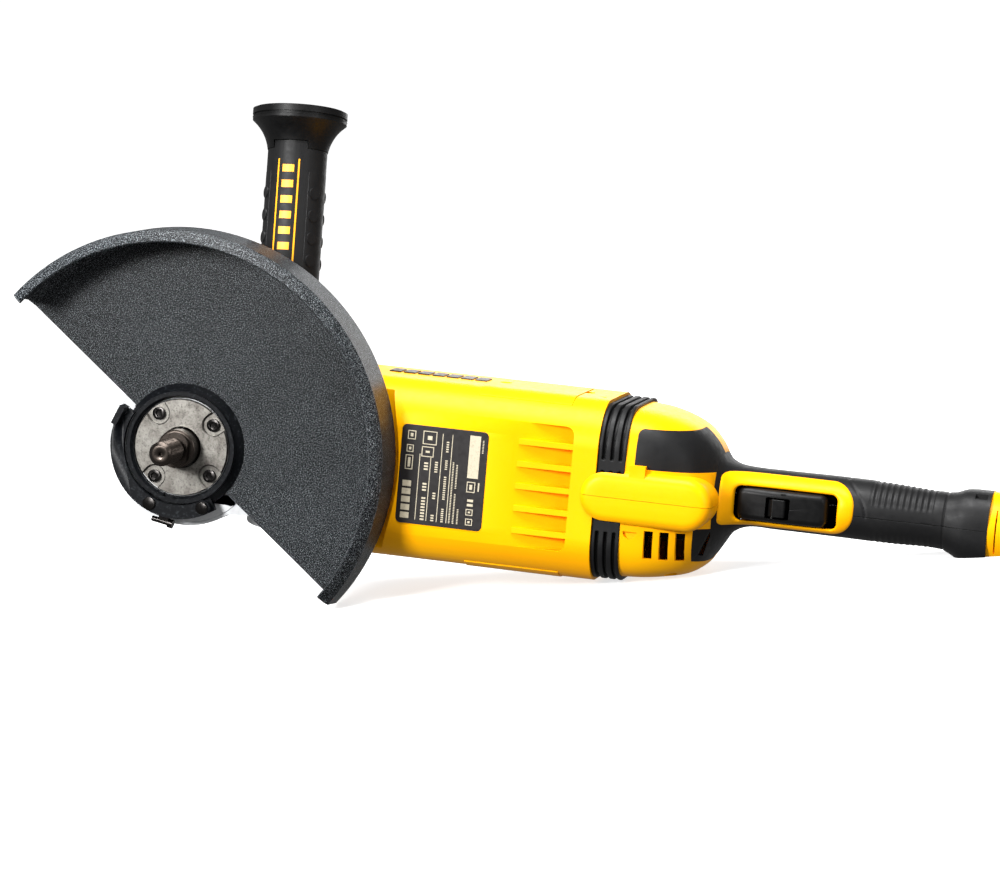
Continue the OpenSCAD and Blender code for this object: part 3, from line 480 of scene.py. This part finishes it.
def refined(node, width_mm, material=None):
    """Stands for a CAD node with the same form, its faces merged and its edges rounded."""
    source = frame["nodes"][node]
    shape = bmesh.new()
    shape.from_mesh(source.data)
    bmesh.ops.remove_doubles(shape, verts=shape.verts, dist=1e-6)
    bmesh.ops.dissolve_limit(shape, angle_limit=MERGE_ANGLE, verts=shape.verts, edges=shape.edges)
    mesh = bpy.data.meshes.new(node + "_look")
    shape.to_mesh(mesh)
    shape.free()
    made = piece(node + "_look", mesh, BODY_OF[node], SLOT_OF[node], material, (node,))
    return soften(made, width_mm)


# ---- surfaces from rings ----------------------------------------------------
def mesh_from(name, points, faces):
    """Mesh from points in millimetres, with its faces turned outward."""
    mesh = bpy.data.meshes.new(name)
    mesh.from_pydata([Vector(p) * MM for p in points], [], faces)
    shape = bmesh.new()
    shape.from_mesh(mesh)
    bmesh.ops.recalc_face_normals(shape, faces=shape.faces)
    shape.to_mesh(mesh)
    shape.free()
    mesh.shade_smooth()
    return mesh


def lofted(name, rings, loop=False):
    """Closed surface through rings of equal length: filled at both ends, or joined end to start."""
    count = len(rings[0])
    points = [point for ring in rings for point in ring]
    steps = len(rings) if loop else len(rings) - 1
    faces = []
    for i in range(steps):
        here, there = i * count, (i + 1) % len(rings) * count
        faces += [(here + k, here + (k + 1) % count, there + (k + 1) % count, there + k)
                  for k in range(count)]
    if not loop:
        faces += [tuple(range(count)), tuple(len(points) - count + k for k in range(count))]
    return mesh_from(name, points, faces)


def spaced(low, high, step, extra=()):
    """Even values from low to high, with extra ones let in, none closer than a tenth of the step."""
    count = max(1, round((high - low) / step))
    even = [low + (high - low) * k / count for k in range(count + 1)]
    kept = [v for v in even if all(abs(v - e) > step * 0.1 for e in extra)]
    return sorted(kept + [e for e in extra if low < e < high])


def round_outline(x0, x1, z0, z1, radii, arc_steps=8, side_steps=6):
    """Outline of a rectangle with four corner radii, from its low corner round by +X then +Z."""
    r0, r1, r2, r3 = radii
    corners = ((x0 + r0, z0 + r0, r0, 180), (x1 - r1, z0 + r1, r1, 270),
               (x1 - r2, z1 - r2, r2, 0), (x0 + r3, z1 - r3, r3, 90))
    outline = []
    for x, z, r, start in corners:
        arc = [(x + r * math.cos(math.radians(start + 90 * k / arc_steps)),
                z + r * math.sin(math.radians(start + 90 * k / arc_steps)))
               for k in range(arc_steps + 1)]
        if outline:
            outline += between(outline[-1], arc[0], side_steps)
        outline += arc
    return outline + between(outline[-1], outline[0], side_steps)


def between(a, b, steps):
    """Points strictly between two points."""
    return [tuple(p + (q - p) * k / steps for p, q in zip(a, b)) for k in range(1, steps)]


def prism(name, outline, y0, y1):
    """Closed solid of an outline in X and Z, from y0 to y1."""
    return lofted(name, [[(x, y, z) for x, z in outline] for y in (y0, y1)])


def carve(made, cutter_mesh, how="DIFFERENCE"):
    """Cuts a piece with a closed mesh, or joins or crosses it with one, for good."""
    cutter = bpy.data.objects.new("cutter", cutter_mesh)
    bpy.context.scene.collection.objects.link(cutter)
    step = made.modifiers.new("carve", "BOOLEAN")
    step.operation = how
    step.solver = "EXACT"
    step.object = cutter
    bpy.context.view_layer.update()
    cut = made.evaluated_get(bpy.context.evaluated_depsgraph_get())
    done = bpy.data.meshes.new_from_object(cut)
    made.modifiers.remove(step)
    finish = made.data.materials[0]
    made.data = done
    done.materials.clear()
    done.materials.append(finish)
    bpy.data.objects.remove(cutter)
    done.shade_smooth()


# ---- rear housing and handle form -------------------------------------------
# Stations: x, middle y, half depth, middle z, half width, squareness (millimetres)
REAR_STATIONS = (
    (256, 64, 47, 0, 47.8, 4.3), (268, 64, 46.6, -0.2, 46.8, 4.2), (280, 64, 44.5, -0.8, 44.6, 3.8),
    (291, 65, 40.5, -2, 41, 3.4), (299, 66.3, 34, -3.1, 34.9, 3), (305, 67.6, 28, -3, 26, 2.7),
    (311, 68.8, 23.5, 0.2, 19.6, 2.5), (320, 69.6, 20.6, 1.9, 16.8, 2.4),
    (335, 70, 19.5, 1.9, 16.7, 2.3), (372, 70, 19, 2, 16.9, 2.3), (400, 70, 18.8, 1.6, 16.8, 2.3),
    (428, 70, 18, 1, 15.9, 2.3), (434, 70, 18.8, 0.2, 17.2, 2.4), (441, 70, 20.4, -0.4, 20.2, 2.6),
    (455, 70, 20.8, -0.4, 20.6, 2.9))


def rear_station(x):
    """Section of the rear form at x, on a smooth curve through the stations."""
    last = len(REAR_STATIONS) - 1
    high = next((k for k, s in enumerate(REAR_STATIONS) if s[0] >= x), last)
    high = max(1, high)
    a, b = REAR_STATIONS[high - 1], REAR_STATIONS[high]
    before, after = REAR_STATIONS[max(high - 2, 0)], REAR_STATIONS[min(high + 1, last)]
    width = b[0] - a[0]
    t = min(max((x - a[0]) / width, 0), 1)
    values = []
    for k in range(1, 6):
        slope_a = (b[k] - before[k]) / (b[0] - before[0]) * width
        slope_b = (after[k] - a[k]) / (after[0] - a[0]) * width
        values.append(a[k] * (2 * t ** 3 - 3 * t ** 2 + 1) + slope_a * (t ** 3 - 2 * t ** 2 + t)
                      + b[k] * (3 * t ** 2 - 2 * t ** 3) + slope_b * (t ** 3 - t ** 2))
    return values


WALL = 3.0
TURNS = [360 * k / 120 for k in range(120)]


def rear_ring(x, turns, inset=0.0, relief=None):
    """Ring of points round the rear form at x; turn 0 faces +Y and 90 faces +Z."""
    mid_y, half_y, mid_z, half_z, square = rear_station(x)
    ring = []
    for turn in turns:
        c, s = math.cos(math.radians(turn)), math.sin(math.radians(turn))
        y = math.copysign(abs(c) ** (2 / square), c)
        z = math.copysign(abs(s) ** (2 / square), s)
        out = (relief(x, mid_z + half_z * z) if relief else 0.0) - inset
        ring.append((x, mid_y + (half_y + out) * y, mid_z + (half_z + out) * z))
    return ring


def rear_shell_mesh(name, xs, relief=None):
    """Shell of the rear form, open at both ends."""
    outer = [rear_ring(x, TURNS, 0.0, relief) for x in xs]
    inner = [rear_ring(x, TURNS, WALL) for x in reversed(xs)]
    return lofted(name, outer + inner, loop=True)


# ---- spindle ----------------------------------------------------------------
THREAD_R = 7.0
THREAD_DEPTH = 1.15
THREAD_PITCH = 2.0
THREAD_TIP = -24.0
THREAD_FLAT = 0.16        # share of the pitch that is flat at the crest, and at the root
TIP_R = 4.9
LEAD_IN_SLOPE = 1.1
NECK_DEPTH, NECK_Y, NECK_SLOPE = 1.2, -1.4, 2.4     # undercut between thread and shoulder
SHOULDER_FLAT = 8.0
SHOULDER_END = 4.19
# Radius and y of the plain part behind the thread
SPINDLE_INSIDE = (
    (9.6, 0.02), (9.6, 4.0), (9.6, SHOULDER_END), (10.0, 4.2), (11, 5), (11, 20), (8.5, 20.02),
    (8.5, 33), (8, 33.2), (8, 56), (7.4, 57), (6.4, 57.4), (5, 66), (5, 92), (4, 93))


def thread_radius(y, turn):
    """Radius of the thread's surface, with equal flats at crest and root."""
    phase = (y / THREAD_PITCH - turn / 360) % 1
    rise = min(max((abs(phase - 0.5) * 2 - THREAD_FLAT) / (1 - 2 * THREAD_FLAT), 0), 1)
    lead_in = TIP_R + (y - THREAD_TIP) * LEAD_IN_SLOPE
    neck = THREAD_R - NECK_DEPTH + max(0.0, NECK_Y - y) * NECK_SLOPE
    return min(THREAD_R - THREAD_DEPTH * rise, lead_in, neck)


def make_spindle():
    """Ground spindle with a real helical thread, a centre hole and a shoulder with two flats."""
    turns = [360 * k / 72 for k in range(72)]

    def ring(y, radius):
        """Ring of points at y, whose radius may be a number or a function of y and turn."""
        points = []
        for turn in turns:
            r = radius(y, turn) if callable(radius) else radius
            x, z = r * math.cos(math.radians(turn)), r * math.sin(math.radians(turn))
            if 0 <= y <= SHOULDER_END:
                x = min(max(x, -SHOULDER_FLAT), SHOULDER_FLAT)
            points.append((x, y, z))
        return points

    rings = [ring(-21.2, 1.2), ring(-23.5, 1.2), ring(THREAD_TIP, 1.9), ring(THREAD_TIP, TIP_R - 0.3)]
    rings += [ring(y, thread_radius) for y in spaced(THREAD_TIP + 0.15, -0.05, 0.2)]
    rings += [ring(y, r) for r, y in SPINDLE_INSIDE]
    made = piece("spindle_look", lofted("spindle_look", rings), "spindle_assembly", "spindle_steel",
                 stands_for=("spindle",))
    return sharp(made, 40)


SCREW_TURNS = (39, 129, 231, 321)
SCREW_CIRCLE = 23.1
RECESS_R, CHAMFER_R, BORE_R = 6.0, 6.75, 2
RECESS_Y, CHAMFER_Y, BORE_Y = (13, 15.6), (13.9, 14.75), (13, 18)


def turned_outline(turn, points):
    """Points in a plan turned about the spindle from +X towards +Z."""
    c, s = math.cos(math.radians(turn)), math.sin(math.radians(turn))
    return [(x * c - z * s, x * s + z * c) for x, z in points]


def recess_outline(r):
    """Half round about a screw, carried on straight past the rim."""
    arc = [(SCREW_CIRCLE + r * math.cos(math.radians(a)), r * math.sin(math.radians(a)))
           for a in range(90, 271, 9)]
    return arc + [(SCREW_CIRCLE + 9, -r), (SCREW_CIRCLE + 9, r)]


def chamfer_mesh(turn):
    """Cutter that narrows from the chamfer's outline to the recess's."""
    wide = recess_outline(CHAMFER_R)
    narrow = [(SCREW_CIRCLE + RECESS_R / CHAMFER_R * (x - SCREW_CIRCLE), z * RECESS_R / CHAMFER_R)
              for x, z in wide]
    rings = [[(x, y, z) for x, z in turned_outline(turn, outline)]
             for y, outline in zip(CHAMFER_Y, (wide, narrow))]
    return lofted("chamfer", rings)


def make_retainer_plate():
    """Steel plate with four screw recesses, each open to the rim and chamfered round its edge."""
    turns = [math.radians(360 * k / 96) for k in range(96)]
    section = ((11.6, 17), (11.6, 14.35), (11.95, 14), (27.1, 14), (27.5, 14.4), (27.5, 17))
    rings = [[(r * math.cos(a), y, r * math.sin(a)) for a in turns] for r, y in section]
    made = piece("retainer_plate_look", lofted("retainer_plate_look", rings, loop=True), "housing",
                 "bearing_steel", PLATE, ("retainer_plate",))
    bore = [(SCREW_CIRCLE + BORE_R * math.cos(math.radians(a)), BORE_R * math.sin(math.radians(a)))
            for a in range(0, 360, 15)]
    for turn in SCREW_TURNS:
        carve(made, prism("recess", turned_outline(turn, recess_outline(RECESS_R)), *RECESS_Y))
        carve(made, chamfer_mesh(turn))
        carve(made, prism("bore", turned_outline(turn, bore), *BORE_Y))
    return sharp(made, 25)


# ---- rear housing, grip and their boss --------------------------------------
SEAM = 0.12               # half of the gap between the two halves
HOUSING_FROM, GRIP_FROM = 256, 303
RIB_FROM, RIB_TO, RIB_PITCH, RIB_DEPTH = 389.8, 423.5, 3.36, 0.6
GROOVE_X, GROOVE_BOW, GROOVE_DEPTH, GROOVE_HALF = 386.6, 10, 0.5, 0.55
RING_X, RING_DEPTH, RING_HALF = 430, 0.45, 0.5
JOINT_PLACES = ((283, 96), (283, 38), (314, 84), (396, 82), (446, 84))     # x and y of the screws
JOINT_BORE_R, JOINT_BORE_END = 3.7, -8.45


def fade(value, low, high):
    """0 below low, 1 above high, and a smooth rise between them."""
    t = min(max((value - low) / (high - low), 0), 1)
    return t * t * (3 - 2 * t)


def grip_relief(x, z):
    """Moulded ribs over the grip, the curved groove in front of them and the ring behind."""
    upper = fade(z, 6.0, 9.0)
    lower = 0.45 * fade(-z, 7.0, 10.5)
    inside = fade(x, RIB_FROM - 1.6, RIB_FROM - 0.4) * (1 - fade(x, RIB_TO + 0.4, RIB_TO + 1.6))
    rib = 0.5 - 0.5 * math.cos(2 * math.pi * (x - RIB_FROM) / RIB_PITCH)
    depth = RIB_DEPTH * inside * max(upper, lower) * rib ** 0.7
    bow = x - (GROOVE_X - GROOVE_BOW * (z / 17) ** 2)
    depth += GROOVE_DEPTH * math.exp(-(bow / GROOVE_HALF) ** 2) * fade(z, -2.0, 1.0)
    depth += RING_DEPTH * math.exp(-((x - RING_X) / RING_HALF) ** 2)
    return -depth


# Stretches behind the trigger: from, to, step
GRIP_STRETCHES = ((372, 389, 0.8), (389, 424.4, 0.42), (424.4, 428.6, 1.4), (428.6, 431.4, 0.35),
                  (431.4, 455, 1.3))


def grip_xs():
    """Stations along the grip, close together where it has relief."""
    xs = spaced(GRIP_FROM + 0.1, 372, 3.0, [305, 311, 320])
    for low, high, step in GRIP_STRETCHES:
        xs += spaced(low, high, step)[1:]
    return xs


def box_mesh(low, high):
    """Closed box between two corners."""
    (x0, y0, z0), (x1, y1, z1) = low, high
    return prism("box", [(x0, z0), (x1, z0), (x1, z1), (x0, z1)], y0, y1)


def rod_mesh(x, y, z0, z1, r):
    """Closed rod along Z."""
    turns = [2 * math.pi * k / 32 for k in range(32)]
    rings = [[(x + r * math.cos(a), y + r * math.sin(a), z) for a in turns] for z in (z0, z1)]
    return lofted("rod", rings)


def joined(name, meshes):
    """One mesh of several that don't touch."""
    shape = bmesh.new()
    for mesh in meshes:
        shape.from_mesh(mesh)
    whole = bpy.data.meshes.new(name)
    shape.to_mesh(whole)
    shape.free()
    return whole


def screw_bores():
    """Access bores of the joint screws, open on the -Z side."""
    return joined("bores", [rod_mesh(x, y, -60, JOINT_BORE_END, JOINT_BORE_R)
                            for x, y in JOINT_PLACES])


def plate_zones(grow):
    """Stretches of the housing that the two black plates cover, on the +Z and the -Z side."""
    panel = round_outline(261 - grow, 312, 17 - grow, 39 + grow, (1.5, 1, 1, 3.5))
    corner = [(295 - grow, -14.5 + grow), (312, -14.5 + grow), (312, -36 - grow),
              (294.5 - grow, -33.5 - grow)]
    return prism("panel", panel, -10, 66), prism("corner", corner, -10, 66)


POD_FROM, POD_TO, POD_HALF = 231, 306, 15
POD_CORNER = 14.9
POD_LOW = 12.0
POD_ROUND = 6.0
POD_CROWN = 0.5
POD_SHELF = 14.6          # the boss's inner face in front of the housing


def pod_outline(inset):
    """Long oval of the boss, drawn in by this much."""
    r = POD_CORNER - inset
    return round_outline(POD_FROM + inset, POD_TO - inset, -POD_HALF + inset, POD_HALF - inset,
                         (r, r, r, r), 14, 10)


def pod_mesh(grow=0.0):
    """Boss along the underside: a long oval with a rounded face."""
    rings = [[(x, POD_LOW - grow, z) for x, z in pod_outline(POD_ROUND + 5)]]
    for step in range(9):
        a = math.radians(90 * step / 8)
        inset = POD_ROUND * (1 - math.sin(a)) - grow
        y = POD_LOW + POD_CROWN + POD_ROUND * (1 - math.cos(a)) - grow
        rings.append([(x, y, z) for x, z in pod_outline(inset)])
    rings.append([(x, 50, z) for x, z in pod_outline(-grow)])
    return lofted("pod", rings)


def half_space(side):
    """Everything on one side of the seam."""
    if side > 0:
        return box_mesh((200, -50, SEAM), (500, 150, 100))
    return box_mesh((200, -50, -100), (500, 150, -SEAM))


SLOT_XS = (269.5, 278, 286.5)
SLOT_WIDE = 5
THUMB_X, THUMB_Z, THUMB_R = 261.5, -18.5, 4


def make_rear_housing():
    """Yellow rear housing in two halves, with the boss, three slots and a thumb recess."""
    for side, node in ((1, "rear_housing_left"), (-1, "rear_housing_right")):
        xs = spaced(HOUSING_FROM, GRIP_FROM, 2.6, [268, 280, 291, 299])
        made = piece(node + "_look", rear_shell_mesh(node, xs), "housing",
                     "yellow_plastic", stands_for=(node,))
        for zone in plate_zones(0.0):
            carve(made, zone)
        pod = piece(node + "_boss", pod_mesh(), "housing", "yellow_plastic", stands_for=(node,))
        if side > 0:
            # This block ties the boss to its half of the housing
            carve(pod, box_mesh((259, POD_LOW + 1.5, 12), (268, 30, 19)), "UNION")
        inner = [rear_ring(x, TURNS[::3], WALL) for x in spaced(255, 312, 4)]
        carve(pod, lofted("hollow", inner))
        # In front of the housing the boss is only a shelf
        carve(pod, box_mesh((226, POD_SHELF, -30), (HOUSING_FROM + 0.2, 60, 30)))
        for shell in (made, pod):
            if side < 0:
                for x in SLOT_XS:
                    carve(shell, box_mesh((x, 5, -33), (x + SLOT_WIDE, 40, -17)))
                carve(shell, recess_mesh())
                carve(shell, screw_bores())
            carve(shell, half_space(side), "INTERSECT")
            soften(shell, 0.5, 38)


def recess_mesh():
    """Upright half-round cutter of the thumb recess."""
    turns = [math.radians(a) for a in range(180, 361, 15)]
    outline = [(THUMB_X + THUMB_R * math.cos(a), THUMB_Z + THUMB_R * math.sin(a)) for a in turns]
    return prism("recess", outline, 5, 19.5)


def make_grip():
    """Black grip in two halves, each with a plate that reaches over the rear housing."""
    for side, node in ((1, "handle_shell_left"), (-1, "handle_shell_right")):
        made = piece(node + "_look", rear_shell_mesh(node, grip_xs(), grip_relief),
                     "housing", "soft_grip", stands_for=(node,))
        window = round_outline(312, 372, -10, 11, (4, 4, 4, 4))
        carve(made, prism("window", window, 40, 64))
        carve(made, pod_mesh(0.05))
        if side > 0:
            # Square notch near the tail
            carve(made, box_mesh((446, 40, 17), (453, 60, 24)))
        else:
            carve(made, screw_bores())
        carve(made, half_space(side), "INTERSECT")
        soften(made, 0.35, 45)
        make_grip_plate(side, node)


def make_grip_plate(side, node):
    """Black plate over the housing: a panel on the +Z side, a corner piece on the -Z side."""
    xs = spaced(HOUSING_FROM, GRIP_FROM + 0.1, 2.6)
    plate = piece(node + "_plate", rear_shell_mesh(node, xs), "housing", "soft_grip",
                  stands_for=(node,))
    panel, corner = plate_zones(-0.1)
    carve(plate, panel if side > 0 else corner, "INTERSECT")
    carve(plate, pod_mesh(0.05))
    if side > 0:
        # Room for the block that ties the boss to the housing
        carve(plate, box_mesh((258.9, 0, 10), (268.1, 24, 19.1)))
    else:
        slit = [(303.0, -16), (303.2, -18.5), (299.8, -30.5), (297.6, -29.8)]
        carve(plate, prism("slit", slit, 0, 60))
    soften(plate, 0.4, 38)


def rear_low(x, z):
    """Y of the rear form's underside at a place."""
    mid_y, half_y, mid_z, half_z, square = rear_station(x)
    across = min(abs((z - mid_z) / half_z), 0.985)
    return mid_y - half_y * (1 - across ** square) ** (1 / square)


# Section of the trigger's collar: share of the way inward, and height above the grip
COLLAR_SECTION = ((0.0, -1.6), (0.0, 0.1), (0.07, 0.62), (0.22, 1.0), (0.5, 1.15), (0.78, 1.0),
                  (0.93, 0.5), (1.0, -0.2), (1.0, -4.5), (0.85, -4.5), (0.75, -1.6))


def make_trigger_frame():
    """Rounded yellow collar that follows the grip round the trigger."""
    outer = round_outline(305.6, 380, -12.5, 17.2, (3, 13, 13, 3), 10, 12)
    inner = round_outline(312.9, 370.9, -9.6, 10.3, (4, 4, 4, 4), 10, 12)
    rings = []
    for share, rise in COLLAR_SECTION:
        ring = []
        for (xo, zo), (xi, zi) in zip(outer, inner):
            x, z = xo + (xi - xo) * share, zo + (zi - zo) * share
            ring.append((x, rear_low(x, z) - rise, z))
        rings.append(ring)
    made = piece("trigger_frame_look", lofted("trigger_frame_look", rings, loop=True), "housing",
                 "yellow_plastic", stands_for=("trigger_frame",))
    return sharp(made, 60)


TRIGGER_SIDES = (314.2, 365.3, -8.7, 9.5)     # low and high X, low and high Z
TRIGGER_EDGE = 3.4                            # radius of the rounding round its face
TRIGGER_CORNER = 4.2


def trigger_outline(inset, r):
    """Outline of the trigger bar, drawn in by this much."""
    x0, x1, z0, z1 = TRIGGER_SIDES
    return round_outline(x0 + inset, x1 - inset, z0 + inset, z1 - inset, (r, r, r, r), 8, 6)


def bar_face(x):
    """Y of the trigger's face, slightly domed along X."""
    return 47.7 + 0.0036 * (x - 338) ** 2


def make_trigger():
    """Hollow trigger bar with a rounded face and a window for the lock-off lever."""
    rings = [[(x, bar_face(x), z) for x, z in trigger_outline(8, 0.6)]]
    for step in range(8):
        a = math.radians(90 * step / 7)
        inset = TRIGGER_EDGE * (1 - math.sin(a))
        drop = TRIGGER_EDGE * (1 - math.cos(a))
        outline = trigger_outline(inset, TRIGGER_CORNER - inset * 0.85)
        rings.append([(x, bar_face(x) + drop, z) for x, z in outline])
    rings.append([(x, 58.5 + 0.02 * (x - 314), z) for x, z in trigger_outline(0, TRIGGER_CORNER)])
    made = piece("trigger_look", lofted("trigger_look", rings), "trigger_body", "black_plastic",
                 stands_for=("trigger",))
    carve(made, box_mesh((316.2, 51.7, -6.8), (363.2, 70, 7.6)))
    carve(made, prism("window", round_outline(331, 344.6, -6.6, 5.6, (1, 1, 1, 1), 4, 2), 40, 60))
    carve(made, box_mesh((339.4, 45, 7.0), (342.2, 48.6, 8.2)))
    return soften(made, 0.4, 38)


# ---- printed bars, in place of any lettering --------------------------------
# X, height, and the stretches of Z of each word
WORDS = ((142.2, 2.3, ((-25.2, -11.5), (-8.6, -3.4), (3.2, 8.2))),
         (148.4, 1.7, ((-25.2, -21.0), (-12.6, -8.4), (2.4, 9.0))),
         (154.2, 1.4, ((-25.2, -17.0), (-12.4, 1.2), (4.6, 10.4), (14.4, 21.0))),
         (158.6, 0.9, ((-25.2, 9.6),)), (160.8, 0.9, ((-25.2, -8.0), (-5.4, 8.4))),
         (163.2, 0.9, ((-25.2, -16.4),)))
RULES = ((139.2, 12), (145.6, 11.2), (151.6, 24.6), (157.2, 24.6))     # X, and where it ends in Z
PRINT_RISE, PRINT_SUNK = 0.1, 0.05


def word(x, high, z0, z1):
    """Short bars side by side, in place of a word."""
    count = max(1, round((z1 - z0) / (high * 0.62 + 0.35)))
    step = (z1 - z0) / count
    return [(x, x + high, z0 + step * k, z0 + step * (k + 0.55)) for k in range(count)]


def outlined(x0, x1, z0, z1, wide=0.45):
    """Four bars round a rectangle, and a smaller one in it, in place of a symbol."""
    third = (x1 - x0) / 3
    return [(x0, x0 + wide, z0, z1), (x1 - wide, x1, z0, z1), (x0 + wide, x1 - wide, z0, z0 + wide),
            (x0 + wide, x1 - wide, z1 - wide, z1), (x0 + third, x1 - third, z0 + third, z1 - third)]


def bars_on_label():
    """Light bars and blocks on the rating label: (x0, x1, z0, z1)."""
    bars = [(130.6, 135.6, -25.0 + 4.5 * k, -21.7 + 4.5 * k) for k in range(5)]
    bars += [(167.4, 173.6, 1.4, 25.4)]
    bars += [(x, x + 0.4, -25.4, top) for x, top in RULES]
    for x, high, stretches in WORDS:
        for z0, z1 in stretches:
            bars += word(x, high, z0, z1)
    bars += outlined(131.2, 135.6, 2.6, 10.8) + outlined(131.4, 135.4, 12.4, 16.6)
    bars += outlined(131.6, 136.2, 19.6, 24.6)
    bars += outlined(140.4, 148.4, 17.6, 25.2) + outlined(140.2, 147.2, 10.6, 16.4)
    bars += outlined(167.6, 172.4, -6.6, -0.6) + [(174.0, 174.8, -5.6, -0.8)]
    bars += word(168.6, 3.4, -14.4, -9.4) + outlined(168.2, 172.2, -19.6, -16.0)
    bars += outlined(168.4, 172.4, -25.2, -21.4) + word(174.8, 0.8, 16.0, 23.6)
    return bars


def make_label_print():
    """Raised bars on the rating label."""
    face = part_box("label_plate")[0].y / MM
    meshes = [box_mesh((x0, face - PRINT_RISE, z0), (x1, face + PRINT_SUNK, z1))
              for x0, x1, z0, z1 in bars_on_label()]
    made = piece("label_print", joined("label_print", meshes), "housing", "label_foil", INK)
    made.data.shade_flat()
    return made


BADGE_BLOCKS = 7
BADGE_INSET = 8           # the blocks leave this much of the CAD strip free


def make_side_badge():
    """Dark blocks along the edge of the side that faces up, in place of a name."""
    low, high = (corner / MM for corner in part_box("side_badge"))
    step = (high.x - low.x) / BADGE_BLOCKS
    meshes = [box_mesh((low.x + step * k, low.y + BADGE_INSET, low.z),
                       (low.x + step * (k + 0.8), high.y, high.z)) for k in range(BADGE_BLOCKS)]
    made = piece("side_badge_look", joined("side_badge_look", meshes), "housing", SLOT_OF["side_badge"],
                 stands_for=("side_badge",))
    made.data.shade_flat()
    return made


# Pieces that keep their CAD form, and how wide their edges are rounded
EDGES_MM = {
    "guard_shell": 0.6, "guard_collar": 0.4, "guard_lever": 0.5, "lever_pivot_rivet": 0.6,
    "lever_pawl": 0.6, "retainer_screws": 0.35, "motor_housing": 0.7,
    "brush_covers": 0.5, "vibration_ring": 0.5, "lock_off_lever": 0.5, "end_cap": 0.8,
    "cord_gland": 0.6, "side_handle_core": 0.7, "side_handle_sleeve": 0.4,
    "side_handle_pads": 0.4, "gear_case": 1.0, "lock_button": 0.8,
    "gear_case_cover": 0.5, "label_plate": 0.15,
}

# Those of them whose finish isn't that of their slot
OWN_FINISH = {
    "guard_collar": COLLAR, "guard_lever": COLLAR,
    "lever_pivot_rivet": FINISHES["screw_steel"], "lever_pawl": FINISHES["screw_steel"],
}


make_camera()
make_floor()
make_light()
paint_cad_nodes()
for edged_node, edge_mm in EDGES_MM.items():
    refined(edged_node, edge_mm, OWN_FINISH.get(edged_node))
make_retainer_plate()
make_spindle()
make_rear_housing()
make_grip()
make_trigger_frame()
make_trigger()
make_label_print()
make_side_badge()
